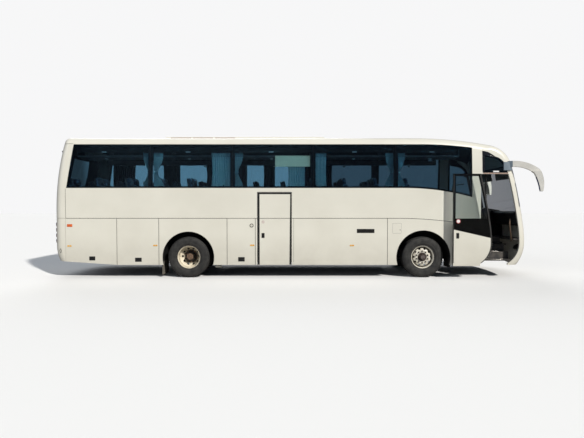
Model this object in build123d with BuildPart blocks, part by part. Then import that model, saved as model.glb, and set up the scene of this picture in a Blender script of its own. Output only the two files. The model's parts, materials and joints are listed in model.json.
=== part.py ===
"""Touring coach, single deck, seen from its right side with the front passenger door open.

+X is forward, +Y is the left side and +Z is up. The origin is on the ground, on the centre line,
half way along the vehicle. All sizes are in millimetres.
"""
from build123d import *
from functools import lru_cache
from math import asin, cos, degrees, radians, sin, sqrt
import os

os.makedirs("parts", exist_ok=True)

# Body: main sizes
HALF_W = 1275
ROOF_Z = 3590
SKIRT_Z = 330
WALL = 50
EDGE_R = 220
BREAK_Z = 2200
TUMBLE_R = 14000
NOSE_X = 5990
NOSE_BOW_R = 6000
NOSE_TUCK_R = 900
TAIL_X = -6250
TAIL_BOW_R = 11000
TAIL_Z = 830
TAIL_TUCK_R = 970
SEAT = 0.3
GAP = 12
BIG = 9000

# Nose in side view, from its foremost point up to the roof: (radius, turn in degrees)
NOSE_ARCS = [(3300, 8.3), (14000, 6.4), (700, 64.3), (10000, 11.0)]
# Tail in side view, from its rearmost point up to the roof: (radius, turn in degrees)
TAIL_ARCS = [(7470, 13.9), (150, 76.1)]

# Body: panel joints
WAIST_Z = 1520
GROOVE = 12
GROOVE_DEEP = 12
WAIST_BEND_X = 2560
WAIST_BEND_R = 10900
ROOF_BAND = 175
FRONT_STRIP = 300
BROW_Z = 2960
BROW_X = 4900
REAR_JOINT_X = -5890
SKIRT_RISE = 88

# Windows
GLASS_T = 8
PILLAR = 110
PANE_GAP = 12
WINDOW_LOW_Z = 2292
WINDOW_TOP_BAND = 186
WINDOW_REAR_X = -5860
WINDOW_REAR_LEAN = 180
WINDOW_FRONT_X = 4470
WINDOW_FRAME = 45
WINDOW_BEND_X = 2760
WINDOW_BEND_R = 6400
DIVIDERS_X = [-3720, -1630, 430, 2530]
QUARTER_BAND = 80
QUARTER_LOW_Z = 2680
QUARTER_REAR_X = 4740
QUARTER_LIP = 15
DRIVER_GLASS_Z = 1780
SCREEN_LOW_Z = 1320
SCREEN_TOP_Z = 2900
SCREEN_HALF_W = 1110
PLATE_Z = 550
PLATE_HOLES = 480
PLATE_HOLE_R = 3.5
REAR_GLASS_LOW_Z = 2320
REAR_GLASS_TOP_Z = 3180
REAR_GLASS_HALF_W = 960

# Front door, on two arms that turn on a column behind its rear edge
DOOR_REAR_X = 4695
DOOR_TOP_Z = 2650
DOOR_ARM = 417
DOOR_OPEN = 151
DOOR_ELBOW = (-20, -200)
DOOR_COLUMN = (4880, -1130)
DOOR_COLUMN_R = 20
DOOR_ARMS_Z = [720, 1400]
DOOR_PIN_R = 14
ARM_T = 30
ARM_H = 44
ARM_END_R = 26
PIN_CLEAR = 0.1
DOOR_GLASS_REAR_Z = 1270
DOOR_GLASS_FRONT_Z = 1010
DOOR_GLASS_SILL_Z = 1520
DOOR_RIM = 55

# Middle door, hinged at its front edge
MID_DOOR_REAR_X = -990
MID_DOOR_FRONT_X = -130
MID_DOOR_TOP_Z = 2180

# Rear engine lid
LID_HALF_W = 900
LID_LOW_Z = 560
LID_TOP_Z = 1470

# Slots let into the skin: half width, lowest Z, how many, pitch
GRILLE = (470, 690, 4, 44)
LOUVRES = (640, 960, 8, 54)
SLOT_H = 22
SLOT_DEEP = 30
BUMPER_Z = 1030
BUMPER_HALF_W = 1130
ROOF_SEAM_X = -5690

# Lamps let into the skin: X low, X high and the outline (|Y|, Z) in front view
LAMP_DEEP = 40
LAMP_ROUND = 35
HEADLAMP = (4900, BIG, [(590, 660), (960, 640), (1120, 780), (1150, 930), (1050, 900), (640, 780)])
TAIL_LAMP = (-BIG, -6000, [(1040, 860), (1190, 860), (1190, 1440), (1110, 1490), (1040, 1440)])

# Wheels and axles
WHEELBASE = 6000
FRONT_AXLE_X = 3240
REAR_AXLE_X = FRONT_AXLE_X - WHEELBASE
TYRE_R = 522
TYRE_W = 295
BEAD_R = 286
RIM_LIP_R = 305
FRONT_TYRE_Y = 1085
REAR_OUTER_Y = 1100
TWIN_PITCH = 340
KINGPIN_Y = 930
KINGPIN_R = 22
FRONT_HUB_Y = FRONT_TYRE_Y + 66
REAR_HUB_Y = REAR_OUTER_Y - TWIN_PITCH / 2 - 25
FRONT_ARCH_R = 690
REAR_ARCH_R = 660
LINER = 10
LINER_CLEAR = 6
LINER_LOW_Z = 420
FRONT_LINER_Y = 480
REAR_LINER_Y = 575
HAND_HOLES = 10

# Side flaps between the axles' arches, the middle door and the rear joint
FLAP_GAP = 12
REAR_FLAP_X = REAR_AXLE_X - REAR_ARCH_R - 90
ENGINE_FLAP_X = REAR_FLAP_X - 0.45 * (REAR_FLAP_X - REAR_JOINT_X)
TANK_FRONT_X = MID_DOOR_REAR_X - 60
TANK_REAR_X = REAR_AXLE_X + REAR_ARCH_R + 0.314 * (TANK_FRONT_X - REAR_AXLE_X - REAR_ARCH_R)
HOLD_FLAP_X = FRONT_AXLE_X - FRONT_ARCH_R - 230
# Name, side (-1 right, 1 left), rear X, front X
FLAPS = [
    ("flap_right_engine", -1, REAR_JOINT_X, ENGINE_FLAP_X),
    ("flap_right_rear", -1, ENGINE_FLAP_X, REAR_FLAP_X),
    ("flap_right_tank", -1, TANK_REAR_X, TANK_FRONT_X),
    ("flap_right_hold", -1, MID_DOOR_FRONT_X + 55, HOLD_FLAP_X),
    ("flap_left_rear", 1, ENGINE_FLAP_X, REAR_FLAP_X),
    ("flap_left_tank", 1, TANK_REAR_X, TANK_FRONT_X),
    ("flap_left_hold", 1, TANK_FRONT_X, HOLD_FLAP_X),
]
SIDE_JOINTS_X = [ENGINE_FLAP_X, REAR_FLAP_X, TANK_REAR_X, TANK_FRONT_X, HOLD_FLAP_X]

# Floors, hold and steps
FLOOR_Z = 1470
FLOOR_T = 40
DRIVER_FLOOR_Z = 1000
DRIVER_FLOOR_X = 4150
HOLD_FLOOR_Z = 430
HOLD_FLOOR_T = 30
HOLD_REAR_X = REAR_AXLE_X + REAR_ARCH_R + 50
HOLD_FRONT_X = FRONT_AXLE_X - FRONT_ARCH_R - 50
BULKHEAD = 30
STEP_T = 30
FIRST_STEP_Z = 460
FIRST_MID_STEP_Z = 490
FRONT_STEPS_X = (4600, 5560)
FRONT_STEPS_Y = (-1215, -440)
MID_STEPS_X = (-1030, -100)
MID_STEPS_Y = (-1215, -330)

# Running gear
RAIL_W = 80
RAIL_H = 130
FRONT_RAIL_Y = 390
REAR_RAIL_Y = 505
RAIL_Z = 720
SILL_Z = 340
TOW_EYE_T = 30
TOW_EYE_R = 25
TOW_EYE_Z = 785
TOW_ACCESS_R = 55
# Tow eyes: rear X, front X, Y and the hole's X
TOW_EYES = [(5640, 5760, -FRONT_RAIL_Y, 5710), (-6060, -5940, -REAR_RAIL_Y, -6010)]

# Seats
SEAT_PITCH = 800
SEAT_ROWS = 12
SEAT_FRONT_X = 3450
SEAT_PAIR_W = 850
SEAT_Y = 700
SEAT_BACK_Z = 2600

# Luggage racks and curtain rails
RACK_X = (-5650, 4200)
RACK_Y = (720, 1100)
RACK_Z = 3060
RAIL_Y = (1130, 1160)
CURTAIN_TOP_Z = 3345

# Roof pod: X of its feet and of its top edges
POD_X = (-3610, -3430, 710, 840)
POD_HALF_W = 700
POD_H = 95
POD_SLOTS_X = [-3070, -2490, -1900]
POD_SLOT_L = 530


# Mirrors: the arm's foot, its turn outwards, and points of its side view (distance along it, Z)
MIRROR_ROOT = (5330, -1175)
MIRROR_OUT = 24
MIRROR_BEND = (795, 2742)
MIRROR_OUTER = (862, 2560)
MIRROR_TIP = (866, 2200)
MIRROR_TIP_IN = (808, 2200)
MIRROR_INNER = (728, 2530)
MIRROR_THROAT = (672, 2655)
MIRROR_ARM_T = 120
MIRROR_HEAD_W = 260
MIRROR_HEAD_Z = 2700
MIRROR_BOSS = (5260, 5470, 2740, 2950)
MIRROR_GAP = 0.5
MIRROR_ARM_GAP = 15


def rise(arcs):
    """Height gained along tangent arcs that start upright."""
    total = 0
    angle = 0
    for radius, turn in arcs:
        total += radius * (sin(radians(angle + turn)) - sin(radians(angle)))
        angle += turn
    return total


NOSE_Z = ROOF_Z - rise(NOSE_ARCS)
TAIL_ARC_Z = ROOF_Z - rise(TAIL_ARCS)


def arc_chain(start, heading, arcs, inset, side):
    """Tangent arcs from a point, each drawn in by inset; side is 1 to turn left, -1 to turn right."""
    point = Vector(*start)
    for radius, turn in arcs:
        arc = JernArc(point, heading, radius - inset, side * turn)
        point = arc @ 1
        heading = arc % 1
    return point


def nose_block(inset):
    """The front end, bowed in plan by turning its side view about an upright axis."""
    half_turn = 32
    join_x = 2600
    axis = Axis((NOSE_X - NOSE_BOW_R, 0, 0), (0, 0, 1))
    with BuildPart(mode=Mode.PRIVATE) as block:
        with BuildSketch(Plane.XZ):
            with BuildLine():
                top = arc_chain((NOSE_X - inset, NOSE_Z), (0, 1), NOSE_ARCS, inset, 1)
                low = arc_chain((NOSE_X - inset, NOSE_Z), (0, -1), [(NOSE_TUCK_R, 60)], inset, -1)
                Polyline(top, (join_x, top.Y), (join_x, low.Y), low)
            make_face()
        revolve(axis=axis, revolution_arc=2 * half_turn)
    return block.part.rotate(axis, -half_turn)


def tail_block(inset):
    """The rear end, bowed in plan in the same way."""
    half_turn = 12
    join_x = -2800
    axis = Axis((TAIL_X + TAIL_BOW_R, 0, 0), (0, 0, 1))
    with BuildPart(mode=Mode.PRIVATE) as block:
        with BuildSketch(Plane.XZ):
            with BuildLine():
                Line((TAIL_X + inset, TAIL_Z), (TAIL_X + inset, TAIL_ARC_Z))
                top = arc_chain((TAIL_X + inset, TAIL_ARC_Z), (0, 1), TAIL_ARCS, inset, -1)
                low = arc_chain((TAIL_X + inset, TAIL_Z), (0, -1), [(TAIL_TUCK_R, 60)], inset, 1)
                Polyline(top, (join_x, top.Y), (join_x, low.Y), low)
            make_face()
        revolve(axis=axis, revolution_arc=2 * half_turn)
    return block.part.rotate(axis, -half_turn)


def section_block(inset, bottom):
    """The body's cross-section along its whole length: upright sides that lean in above BREAK_Z."""
    w = HALF_W - inset
    r = TUMBLE_R - inset
    top = ROOF_Z + 50
    lean = r - sqrt(r**2 - (top - BREAK_Z) ** 2)
    mid_lean = r - sqrt(r**2 - ((top - BREAK_Z) / 2) ** 2)
    mid_z = (top + BREAK_Z) / 2
    with BuildPart(mode=Mode.PRIVATE) as block:
        with BuildSketch(Plane.YZ.offset(-BIG)):
            with BuildLine():
                Polyline((-w, BREAK_Z), (-w, bottom), (w, bottom), (w, BREAK_Z))
                ThreePointArc((w, BREAK_Z), (w - mid_lean, mid_z), (w - lean, top))
                Line((w - lean, top), (lean - w, top))
                ThreePointArc((lean - w, top), (mid_lean - w, mid_z), (-w, BREAK_Z))
            make_face()
        extrude(amount=2 * BIG)
    return block.part


def on_body_edge(edge):
    """True for the edges where the sides meet the roof, the nose and the tail."""
    centre = edge.center()
    return abs(centre.Y) > HALF_W - 180 and (centre.Z > ROOF_Z - 150 or edge.bounding_box().size.Z > 50)


@lru_cache
def body_block(inset, bottom=SKIRT_Z):
    """The coach's outer form as one solid, with every face drawn in by inset."""
    with BuildPart(mode=Mode.PRIVATE) as block:
        add(nose_block(inset))
        add(tail_block(inset))
        with BuildSketch(Plane.XZ):
            with BuildLine():
                top = ROOF_Z - inset
                Polyline((-2900, 0), (2700, 0), (2700, top), (-2900, top), close=True)
            make_face()
        extrude(amount=2 * HALF_W, both=True)
        add(section_block(inset, bottom), mode=Mode.INTERSECT)
        fillet(block.edges().filter_by(on_body_edge), EDGE_R - inset)
    return block.part


def body_layer(outer, inner, bottom=SKIRT_Z):
    """A skin between two insets, open below."""
    return body_block(outer, bottom) - body_block(inner, bottom - 100)


@lru_cache
def side_prism(inset, side=0):
    """What lies below the roof line and behind the nose line, both drawn in, open to the rear and below.

    It passes through both sides (side 0), or only the right (-1) or the left (1) half.
    """
    start_y = 0 if side < 0 else 2 * HALF_W
    length = 2 * HALF_W if side else 4 * HALF_W
    with BuildPart(mode=Mode.PRIVATE) as prism:
        with BuildSketch(Plane.XZ.offset(-start_y)):
            with BuildLine():
                top = arc_chain((NOSE_X - inset, NOSE_Z), (0, 1), NOSE_ARCS, inset, 1)
                low = arc_chain((NOSE_X - inset, NOSE_Z), (0, -1), [(NOSE_TUCK_R, 60)], inset, -1)
                Polyline(top, (-BIG, top.Y), (-BIG, -200), (low.X, -200), low)
            make_face()
        extrude(amount=length)
    return prism.part


def span(x0, x1, y0, y1, z0, z1):
    """A box given by its low and high sides."""
    size = (x1 - x0, y1 - y0, z1 - z0)
    centre = ((x0 + x1) / 2, (y0 + y1) / 2, (z0 + z1) / 2)
    return Pos(*centre) * Box(*size, mode=Mode.PRIVATE)


def side_span(side, x0, x1, z0, z1, deep=400):
    """A box through one side wall, deep enough to pass it and no further."""
    low, high = (HALF_W - deep, HALF_W + deep) if side > 0 else (-HALF_W - deep, deep - HALF_W)
    return span(x0, x1, low, high, z0, z1)


def side_polygon(side, points, deep=400):
    """A prism through one side wall from a polygon in side view."""
    centre = side * HALF_W
    with BuildPart(mode=Mode.PRIVATE) as prism:
        with BuildSketch(Plane.XZ.offset(-centre)):
            Polygon(*points, align=None)
        extrude(amount=deep, both=True)
    return prism.part


def save(part, name):
    """Label a finished piece and write it."""
    part.label = name
    export_step(part, f"parts/{name}.step")


# Body shell and the regions that split it
def skirt_rise():
    """What is cut away below the skirt where it rises towards the rear."""
    with BuildPart(mode=Mode.PRIVATE) as wedge:
        with BuildSketch(Plane.XZ):
            rear_z = SKIRT_Z + SKIRT_RISE * (ENGINE_FLAP_X - TAIL_X) / (ENGINE_FLAP_X - REAR_JOINT_X)
            Polygon((ENGINE_FLAP_X, SKIRT_Z), (TAIL_X, rear_z), (TAIL_X, 0), (ENGINE_FLAP_X, 0), align=None)
        extrude(amount=2 * HALF_W, both=True)
    return wedge.part


shell = body_layer(0, WALL) - skirt_rise()
glass_skin = body_layer(0, GLASS_T)
glass_bed = body_layer(-20, GLASS_T + SEAT)
room = body_block(WALL + SEAT, SKIRT_Z)
mask_region = span(BROW_X, BIG, -BIG, BIG, -BIG, BROW_Z) - side_prism(FRONT_STRIP)
roof_region = span(-BIG, BIG, -BIG, BIG, BROW_Z, BIG) - side_prism(ROOF_BAND)


def window_zone(side, band, front_x, low=WINDOW_LOW_Z, grow=0):
    """The long window band of one side, with its leaning rear edge and its lower edge bent down in front."""
    lean = WINDOW_REAR_LEAN / (ROOF_Z - WINDOW_TOP_BAND - WINDOW_LOW_Z)
    top = ROOF_Z
    turn = degrees(asin((front_x - WINDOW_BEND_X) / (WINDOW_BEND_R - grow)))
    with BuildPart(mode=Mode.PRIVATE) as zone:
        with BuildSketch(Plane.XZ.offset(-side * HALF_W)):
            with BuildLine():
                edge = Line((WINDOW_REAR_X + grow, low), (WINDOW_BEND_X, low))
                bend = JernArc(edge @ 1, (1, 0), WINDOW_BEND_R - grow, -turn)
                Polyline(bend @ 1, (front_x, top), (WINDOW_REAR_X + grow + lean * (top - low), top), edge @ 0)
            make_face()
        extrude(amount=400, both=True)
    return side_prism(band, side) & zone.part


def side_panes(side):
    """The flush panes of one side, split at the dividers."""
    band = glass_skin & window_zone(side, WINDOW_TOP_BAND, WINDOW_FRONT_X)
    for x in DIVIDERS_X:
        band = band - side_span(side, x - PANE_GAP / 2, x + PANE_GAP / 2, 0, BIG)
    return band


def side_openings(side):
    """Cut-outs behind the side panes, leaving the pillars."""
    inner = window_zone(side, WINDOW_TOP_BAND + WINDOW_FRAME, WINDOW_FRONT_X - WINDOW_FRAME,
                        low=WINDOW_LOW_Z + WINDOW_FRAME, grow=WINDOW_FRAME)
    for x in DIVIDERS_X:
        inner = inner - side_span(side, x - PILLAR / 2, x + PILLAR / 2, 0, BIG)
    return inner


def corner_zone(side, low, grow=0):
    """The window ahead of the strip pillar: above the door on the right, beside the driver on the left."""
    region = side_prism(QUARTER_BAND + grow, side)
    front_limit = FRONT_STRIP + QUARTER_LIP + grow
    region = region & side_prism(front_limit, side)
    return region & side_span(side, QUARTER_REAR_X + grow, NOSE_X, low + grow, ROOF_Z)


def door_zone(gap=0):
    """The front doorway in side view."""
    region = side_prism(FRONT_STRIP + gap, -1)
    return region & side_span(-1, DOOR_REAR_X + gap, NOSE_X, SKIRT_Z - 100 + gap, DOOR_TOP_Z - gap)


def arch_cut(x, radius, side):
    """A round wheel arch through one side wall."""
    with BuildPart(mode=Mode.PRIVATE) as cut:
        with BuildSketch(Plane.XZ.offset(-side * HALF_W)):
            with Locations((x, TYRE_R)):
                Circle(radius)
        extrude(amount=300, both=True)
    return cut.part


def joint_grooves(side, xs):
    """Grooves: one along the waist, bent down in front, one at the rear joint and one at each panel joint."""
    y = HALF_W - GROOVE_DEEP
    low, high = (y, HALF_W + 20) if side > 0 else (-HALF_W - 20, -y)
    cut = span(REAR_JOINT_X - 50, WAIST_BEND_X, low, high, WAIST_Z - GROOVE / 2, WAIST_Z + GROOVE / 2)
    with BuildPart(mode=Mode.PRIVATE) as bend:
        with BuildSketch(Plane.XZ.offset(-low)):
            with Locations((WAIST_BEND_X, WAIST_Z - WAIST_BEND_R)):
                Circle(WAIST_BEND_R + GROOVE / 2)
                Circle(WAIST_BEND_R - GROOVE / 2, mode=Mode.SUBTRACT)
        extrude(amount=low - high)
    cut = cut + (bend.part & span(WAIST_BEND_X, DOOR_REAR_X, -BIG, BIG, 0, BIG))
    cut = cut + span(REAR_JOINT_X - GROOVE, REAR_JOINT_X + GROOVE, low, high, 0, WINDOW_LOW_Z)
    for x in xs:
        cut = cut + span(x - GROOVE / 2, x + GROOVE / 2, low, high, 0, WAIST_Z)
    return cut


def side_wall(side):
    """One side wall with its windows, wheel arches, flap openings and doorways."""
    half = span(REAR_JOINT_X, BIG, 0, BIG, -BIG, BIG) if side > 0 else span(REAR_JOINT_X, BIG, -BIG, 0, -BIG, BIG)
    wall = shell & half
    wall = wall - mask_region - roof_region
    wall = wall - (glass_bed & window_zone(side, WINDOW_TOP_BAND - 3, WINDOW_FRONT_X + 3))
    wall = wall - side_openings(side)
    low = QUARTER_LOW_Z if side < 0 else DRIVER_GLASS_Z
    wall = wall - (glass_bed & corner_zone(side, low, -3))
    wall = wall - corner_zone(side, low, WINDOW_FRAME)
    wall = wall - arch_cut(FRONT_AXLE_X, FRONT_ARCH_R, side) - arch_cut(REAR_AXLE_X, REAR_ARCH_R, side)
    wall = wall - joint_grooves(side, SIDE_JOINTS_X)
    for name, flap_side, rear_x, front_x in FLAPS:
        if flap_side == side:
            rear_cut = rear_x if rear_x > REAR_JOINT_X else rear_x - 50
            wall = wall - side_span(side, rear_cut, front_x, 0, WAIST_Z)
    if side < 0:
        wall = wall - door_zone()
        wall = wall - side_span(side, MID_DOOR_REAR_X - GAP, MID_DOOR_FRONT_X + GAP, 0, MID_DOOR_TOP_Z + GAP)
    return wall


for side, name in ((-1, "right"), (1, "left")):
    with BuildPart() as wall_piece:
        add(side_wall(side))
    save(wall_piece.part, f"side_wall_{name}")
    low = QUARTER_LOW_Z if side < 0 else DRIVER_GLASS_Z
    with BuildPart() as panes:
        add(side_panes(side))
        add(glass_skin & corner_zone(side, low))
    save(panes.part, f"side_glass_{name}")

with BuildPart() as roof:
    add(shell & roof_region)
    for side, low in ((-1, QUARTER_LOW_Z), (1, DRIVER_GLASS_Z)):
        add(glass_bed & corner_zone(side, low, -3), mode=Mode.SUBTRACT)
        add(corner_zone(side, low, WINDOW_FRAME), mode=Mode.SUBTRACT)
    seam = side_prism(ROOF_BAND - GROOVE) & span(-BIG, ROOF_SEAM_X, -BIG, BIG, 0, BIG)
    add(seam & body_layer(-20, GROOVE_DEEP), mode=Mode.SUBTRACT)
save(roof.part, "roof")


def screen_zone(grow=0):
    """The windscreen in front view."""
    return span(BROW_X, BIG, -SCREEN_HALF_W + grow, SCREEN_HALF_W - grow, SCREEN_LOW_Z + grow,
                SCREEN_TOP_Z - grow)


def rear_glass_zone(grow=0):
    """The rear window in rear view."""
    return span(-BIG, REAR_JOINT_X, -REAR_GLASS_HALF_W + grow, REAR_GLASS_HALF_W - grow,
                REAR_GLASS_LOW_Z + grow, REAR_GLASS_TOP_Z - grow)


def lamp_zone(lamp, grow=0):
    """Prisms that cut a lamp out of the skin on both sides."""
    x0, x1, outline = lamp
    with BuildPart(mode=Mode.PRIVATE) as zone:
        with BuildSketch(Plane.YZ.offset(x0)):
            Polygon(*outline, align=None)
            fillet(vertices(), LAMP_ROUND)
            if grow:
                offset(amount=grow)
        extrude(amount=x1 - x0)
        mirror(about=Plane.XZ)
    return zone.part


def slots(table):
    """Shallow slots across the skin, one above the other."""
    half_w, low, count, pitch = table
    cut = span(-BIG, BIG, -half_w, half_w, low, low + SLOT_H)
    for i in range(1, count):
        cut = cut + span(-BIG, BIG, -half_w, half_w, low + i * pitch, low + i * pitch + SLOT_H)
    return cut & body_layer(-20, SLOT_DEEP)


def end_groove(z, half_w=BIG):
    """A level groove round one end."""
    return groove_skin & span(-BIG, BIG, -half_w, half_w, z - GROOVE / 2, z + GROOVE / 2)


groove_skin = body_layer(-20, GROOVE_DEEP)
lamp_skin = body_layer(0, LAMP_DEEP)
with BuildPart() as front_mask:
    add(shell & mask_region)
    add(glass_bed & screen_zone(-3), mode=Mode.SUBTRACT)
    add(screen_zone(WINDOW_FRAME), mode=Mode.SUBTRACT)
    add(lamp_zone(HEADLAMP, SEAT), mode=Mode.SUBTRACT)
    add(slots(GRILLE) & span(0, BIG, -BIG, BIG, 0, BIG), mode=Mode.SUBTRACT)
    add(end_groove(BUMPER_Z, BUMPER_HALF_W), mode=Mode.SUBTRACT)
    with BuildSketch(Plane.YZ.offset(NOSE_X - 3 * WALL)):
        with Locations((-PLATE_HOLES / 2, PLATE_Z), (PLATE_HOLES / 2, PLATE_Z)):
            Circle(PLATE_HOLE_R)
    extrude(amount=4 * WALL, mode=Mode.SUBTRACT)
    # Round hole in the apron under the front tow eye, for the pin
    with Locations((TOW_EYES[0][3], TOW_EYES[0][2], TOW_EYE_Z / 2)):
        Cylinder(TOW_ACCESS_R, TOW_EYE_Z, mode=Mode.SUBTRACT)
save(front_mask.part, "front_mask")

with BuildPart() as windscreen:
    add(glass_skin & screen_zone())
save(windscreen.part, "windscreen")

with BuildPart() as headlamps:
    add(lamp_skin & lamp_zone(HEADLAMP))
save(headlamps.part, "headlamps")


def lid_zone(gap=0):
    """The engine lid in rear view."""
    return span(-BIG, REAR_JOINT_X, -LID_HALF_W + gap, LID_HALF_W - gap, LID_LOW_Z + gap, LID_TOP_Z - gap)


with BuildPart() as rear_wall:
    add((shell & span(-BIG, REAR_JOINT_X, -BIG, BIG, -BIG, BIG)) - roof_region)
    add(glass_bed & rear_glass_zone(-3), mode=Mode.SUBTRACT)
    add(rear_glass_zone(WINDOW_FRAME), mode=Mode.SUBTRACT)
    add(lamp_zone(TAIL_LAMP, SEAT), mode=Mode.SUBTRACT)
    add(end_groove(WAIST_Z), mode=Mode.SUBTRACT)
    add(lid_zone(), mode=Mode.SUBTRACT)
save(rear_wall.part, "rear_wall")

with BuildPart() as rear_glass:
    add(glass_skin & rear_glass_zone())
save(rear_glass.part, "rear_glass")

with BuildPart() as tail_lamps:
    add(lamp_skin & lamp_zone(TAIL_LAMP))
save(tail_lamps.part, "tail_lamps")

with BuildPart() as engine_lid:
    add(shell & lid_zone(GAP / 2))
    add(slots(LOUVRES) & span(-BIG, 0, -BIG, BIG, 0, BIG), mode=Mode.SUBTRACT)
save(engine_lid.part, "engine_lid")

# Side flaps
for name, side, rear_x, front_x in FLAPS:
    with BuildPart() as flap:
        g = FLAP_GAP / 2
        add(shell & side_span(side, rear_x + g, front_x - g, 0, WAIST_Z - g, deep=300))
    save(flap.part, name)

# Middle door, closed
with BuildPart() as mid_door:
    add(shell & side_span(-1, MID_DOOR_REAR_X, MID_DOOR_FRONT_X, 0, MID_DOOR_TOP_Z, deep=300))
    add(joint_grooves(-1, []), mode=Mode.SUBTRACT)
save(mid_door.part, "mid_door")

# Front door, standing open: shifted by the arms' turn from its doorway
OPEN_SHIFT = (DOOR_ARM * (cos(radians(DOOR_OPEN)) - 1), -DOOR_ARM * sin(radians(DOOR_OPEN)), 0)
door_glass_line = [
    (DOOR_REAR_X - 100, DOOR_GLASS_REAR_Z),
    (NOSE_X, DOOR_GLASS_FRONT_Z - 60),
    (NOSE_X, BIG),
    (DOOR_REAR_X - 100, BIG),
]
pin_x = DOOR_COLUMN[0] + DOOR_ARM * cos(radians(DOOR_OPEN))
pin_y = DOOR_COLUMN[1] - DOOR_ARM * sin(radians(DOOR_OPEN))
with BuildPart() as front_door:
    add((shell & door_zone(GAP)).translate(OPEN_SHIFT))
    light = side_prism(FRONT_STRIP + GAP + DOOR_RIM, -1)
    light = light & side_span(-1, DOOR_REAR_X + GAP + DOOR_RIM, NOSE_X, DOOR_GLASS_SILL_Z,
                              DOOR_TOP_Z - GAP - DOOR_RIM)
    add(light.translate(OPEN_SHIFT), mode=Mode.SUBTRACT)
    bed = glass_bed & door_zone(GAP + 12) & side_polygon(-1, door_glass_line)
    add(bed.translate(OPEN_SHIFT), mode=Mode.SUBTRACT)
    for z in DOOR_ARMS_Z:
        inner_y = -HALF_W + WALL + OPEN_SHIFT[1]
        z0, z1 = z - ARM_H, z - ARM_H / 2 - 1
        add(span(pin_x - 30, pin_x + 30, inner_y - 2, pin_y + ARM_END_R, z0, z1))
        with Locations((pin_x, pin_y, z)):
            Cylinder(DOOR_PIN_R, 2 * ARM_H)
save(front_door.part, "front_door")

with BuildPart() as front_door_glass:
    pane = glass_skin & door_zone(GAP + 14) & side_polygon(-1, door_glass_line)
    add(pane.translate(OPEN_SHIFT))
save(front_door_glass.part, "front_door_glass")

# Door arms: two arms on one upright column, turned out to the open position
with BuildPart() as door_arms:
    column_low = FIRST_STEP_Z + SEAT
    column_high = DOOR_TOP_Z + 20
    with Locations((*DOOR_COLUMN, (column_low + column_high) / 2)):
        Cylinder(DOOR_COLUMN_R, column_high - column_low)
    for z in DOOR_ARMS_Z:
        with BuildSketch(Plane.XY.offset(z - ARM_H / 2)):
            elbow = (DOOR_COLUMN[0] + DOOR_ELBOW[0], DOOR_COLUMN[1] + DOOR_ELBOW[1])
            with BuildLine():
                neck = Polyline(DOOR_COLUMN, elbow, (pin_x, pin_y))
            trace(neck, line_width=ARM_T)
            with Locations(DOOR_COLUMN):
                Circle(DOOR_COLUMN_R + 14)
            with Locations(elbow):
                Circle(ARM_T / 2)
            with Locations((pin_x, pin_y)):
                Circle(ARM_END_R)
            with Locations((pin_x, pin_y)):
                Circle(DOOR_PIN_R + PIN_CLEAR, mode=Mode.SUBTRACT)
        extrude(amount=ARM_H)
save(door_arms.part, "door_arms")

# Cabin floor: the passengers' floor, a riser and the driver's lower floor, with both stairwells cut
with BuildPart() as cabin_floor:
    add(span(-BIG, DRIVER_FLOOR_X, -BIG, BIG, FLOOR_Z - FLOOR_T, FLOOR_Z) & room)
    riser = span(DRIVER_FLOOR_X - FLOOR_T, DRIVER_FLOOR_X, -BIG, BIG, DRIVER_FLOOR_Z - FLOOR_T, FLOOR_Z)
    add(riser & room)
    driver_slab = span(DRIVER_FLOOR_X - FLOOR_T, BIG, -BIG, BIG, DRIVER_FLOOR_Z - FLOOR_T, DRIVER_FLOOR_Z)
    add(driver_slab & room)
    add(span(*FRONT_STEPS_X, -BIG, FRONT_STEPS_Y[1], 0, FLOOR_Z), mode=Mode.SUBTRACT)
    add(span(*MID_STEPS_X, -BIG, MID_STEPS_Y[1], 0, FLOOR_Z + 1), mode=Mode.SUBTRACT)
save(cabin_floor.part, "cabin_floor")


def stairs(x_limits, y_limits, low_z, high_z, count):
    """Folded stair plate between cheek plates, rising towards the middle of the cabin."""
    x0, x1 = x_limits
    y0, y1 = y_limits
    tread = (y1 - y0) / count
    height = (high_z - low_z) / count
    upper = []
    for i in range(count):
        z = low_z + i * height
        upper += [(y0 + i * tread, z), (y0 + (i + 1) * tread, z)]
    upper.append((y1, high_z))
    lower = [(y + STEP_T, z - STEP_T) for y, z in reversed(upper)]
    lower[0] = (y1 + STEP_T, high_z)
    lower[-1] = (y0, low_z - STEP_T)
    with BuildPart(mode=Mode.PRIVATE) as flight:
        with BuildSketch(Plane.YZ.offset(x0 + SEAT)):
            Polygon(*upper, *lower, align=None)
        extrude(amount=x1 - x0 - 2 * SEAT)
    return flight.part


with BuildPart() as steps:
    add(stairs(FRONT_STEPS_X, (FRONT_STEPS_Y[0], FRONT_STEPS_Y[1] - STEP_T - SEAT), FIRST_STEP_Z,
               DRIVER_FLOOR_Z, 3))
    add(stairs(MID_STEPS_X, (MID_STEPS_Y[0], MID_STEPS_Y[1] - STEP_T - SEAT), FIRST_MID_STEP_Z,
               FLOOR_Z, 4))
save(steps.part, "steps")

# Hold floor and the bulkheads that close its ends and the middle stairwell
with BuildPart() as hold_floor:
    low = HOLD_FLOOR_Z - HOLD_FLOOR_T
    high = FLOOR_Z - FLOOR_T - SEAT
    add(span(HOLD_REAR_X, HOLD_FRONT_X, -BIG, BIG, low, HOLD_FLOOR_Z) & room)
    for x in (HOLD_REAR_X, HOLD_FRONT_X - BULKHEAD):
        add(span(x, x + BULKHEAD, -BIG, BIG, low, high) & room)
    for x in (MID_STEPS_X[0] - BULKHEAD, MID_STEPS_X[1]):
        add(span(x, x + BULKHEAD, -BIG, MID_STEPS_Y[1], low, high) & room)
save(hold_floor.part, "hold_floor")


def both_sides(part):
    """A part and its mirror image across the centre line."""
    return part + mirror(part, about=Plane.XZ, mode=Mode.PRIVATE)


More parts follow.
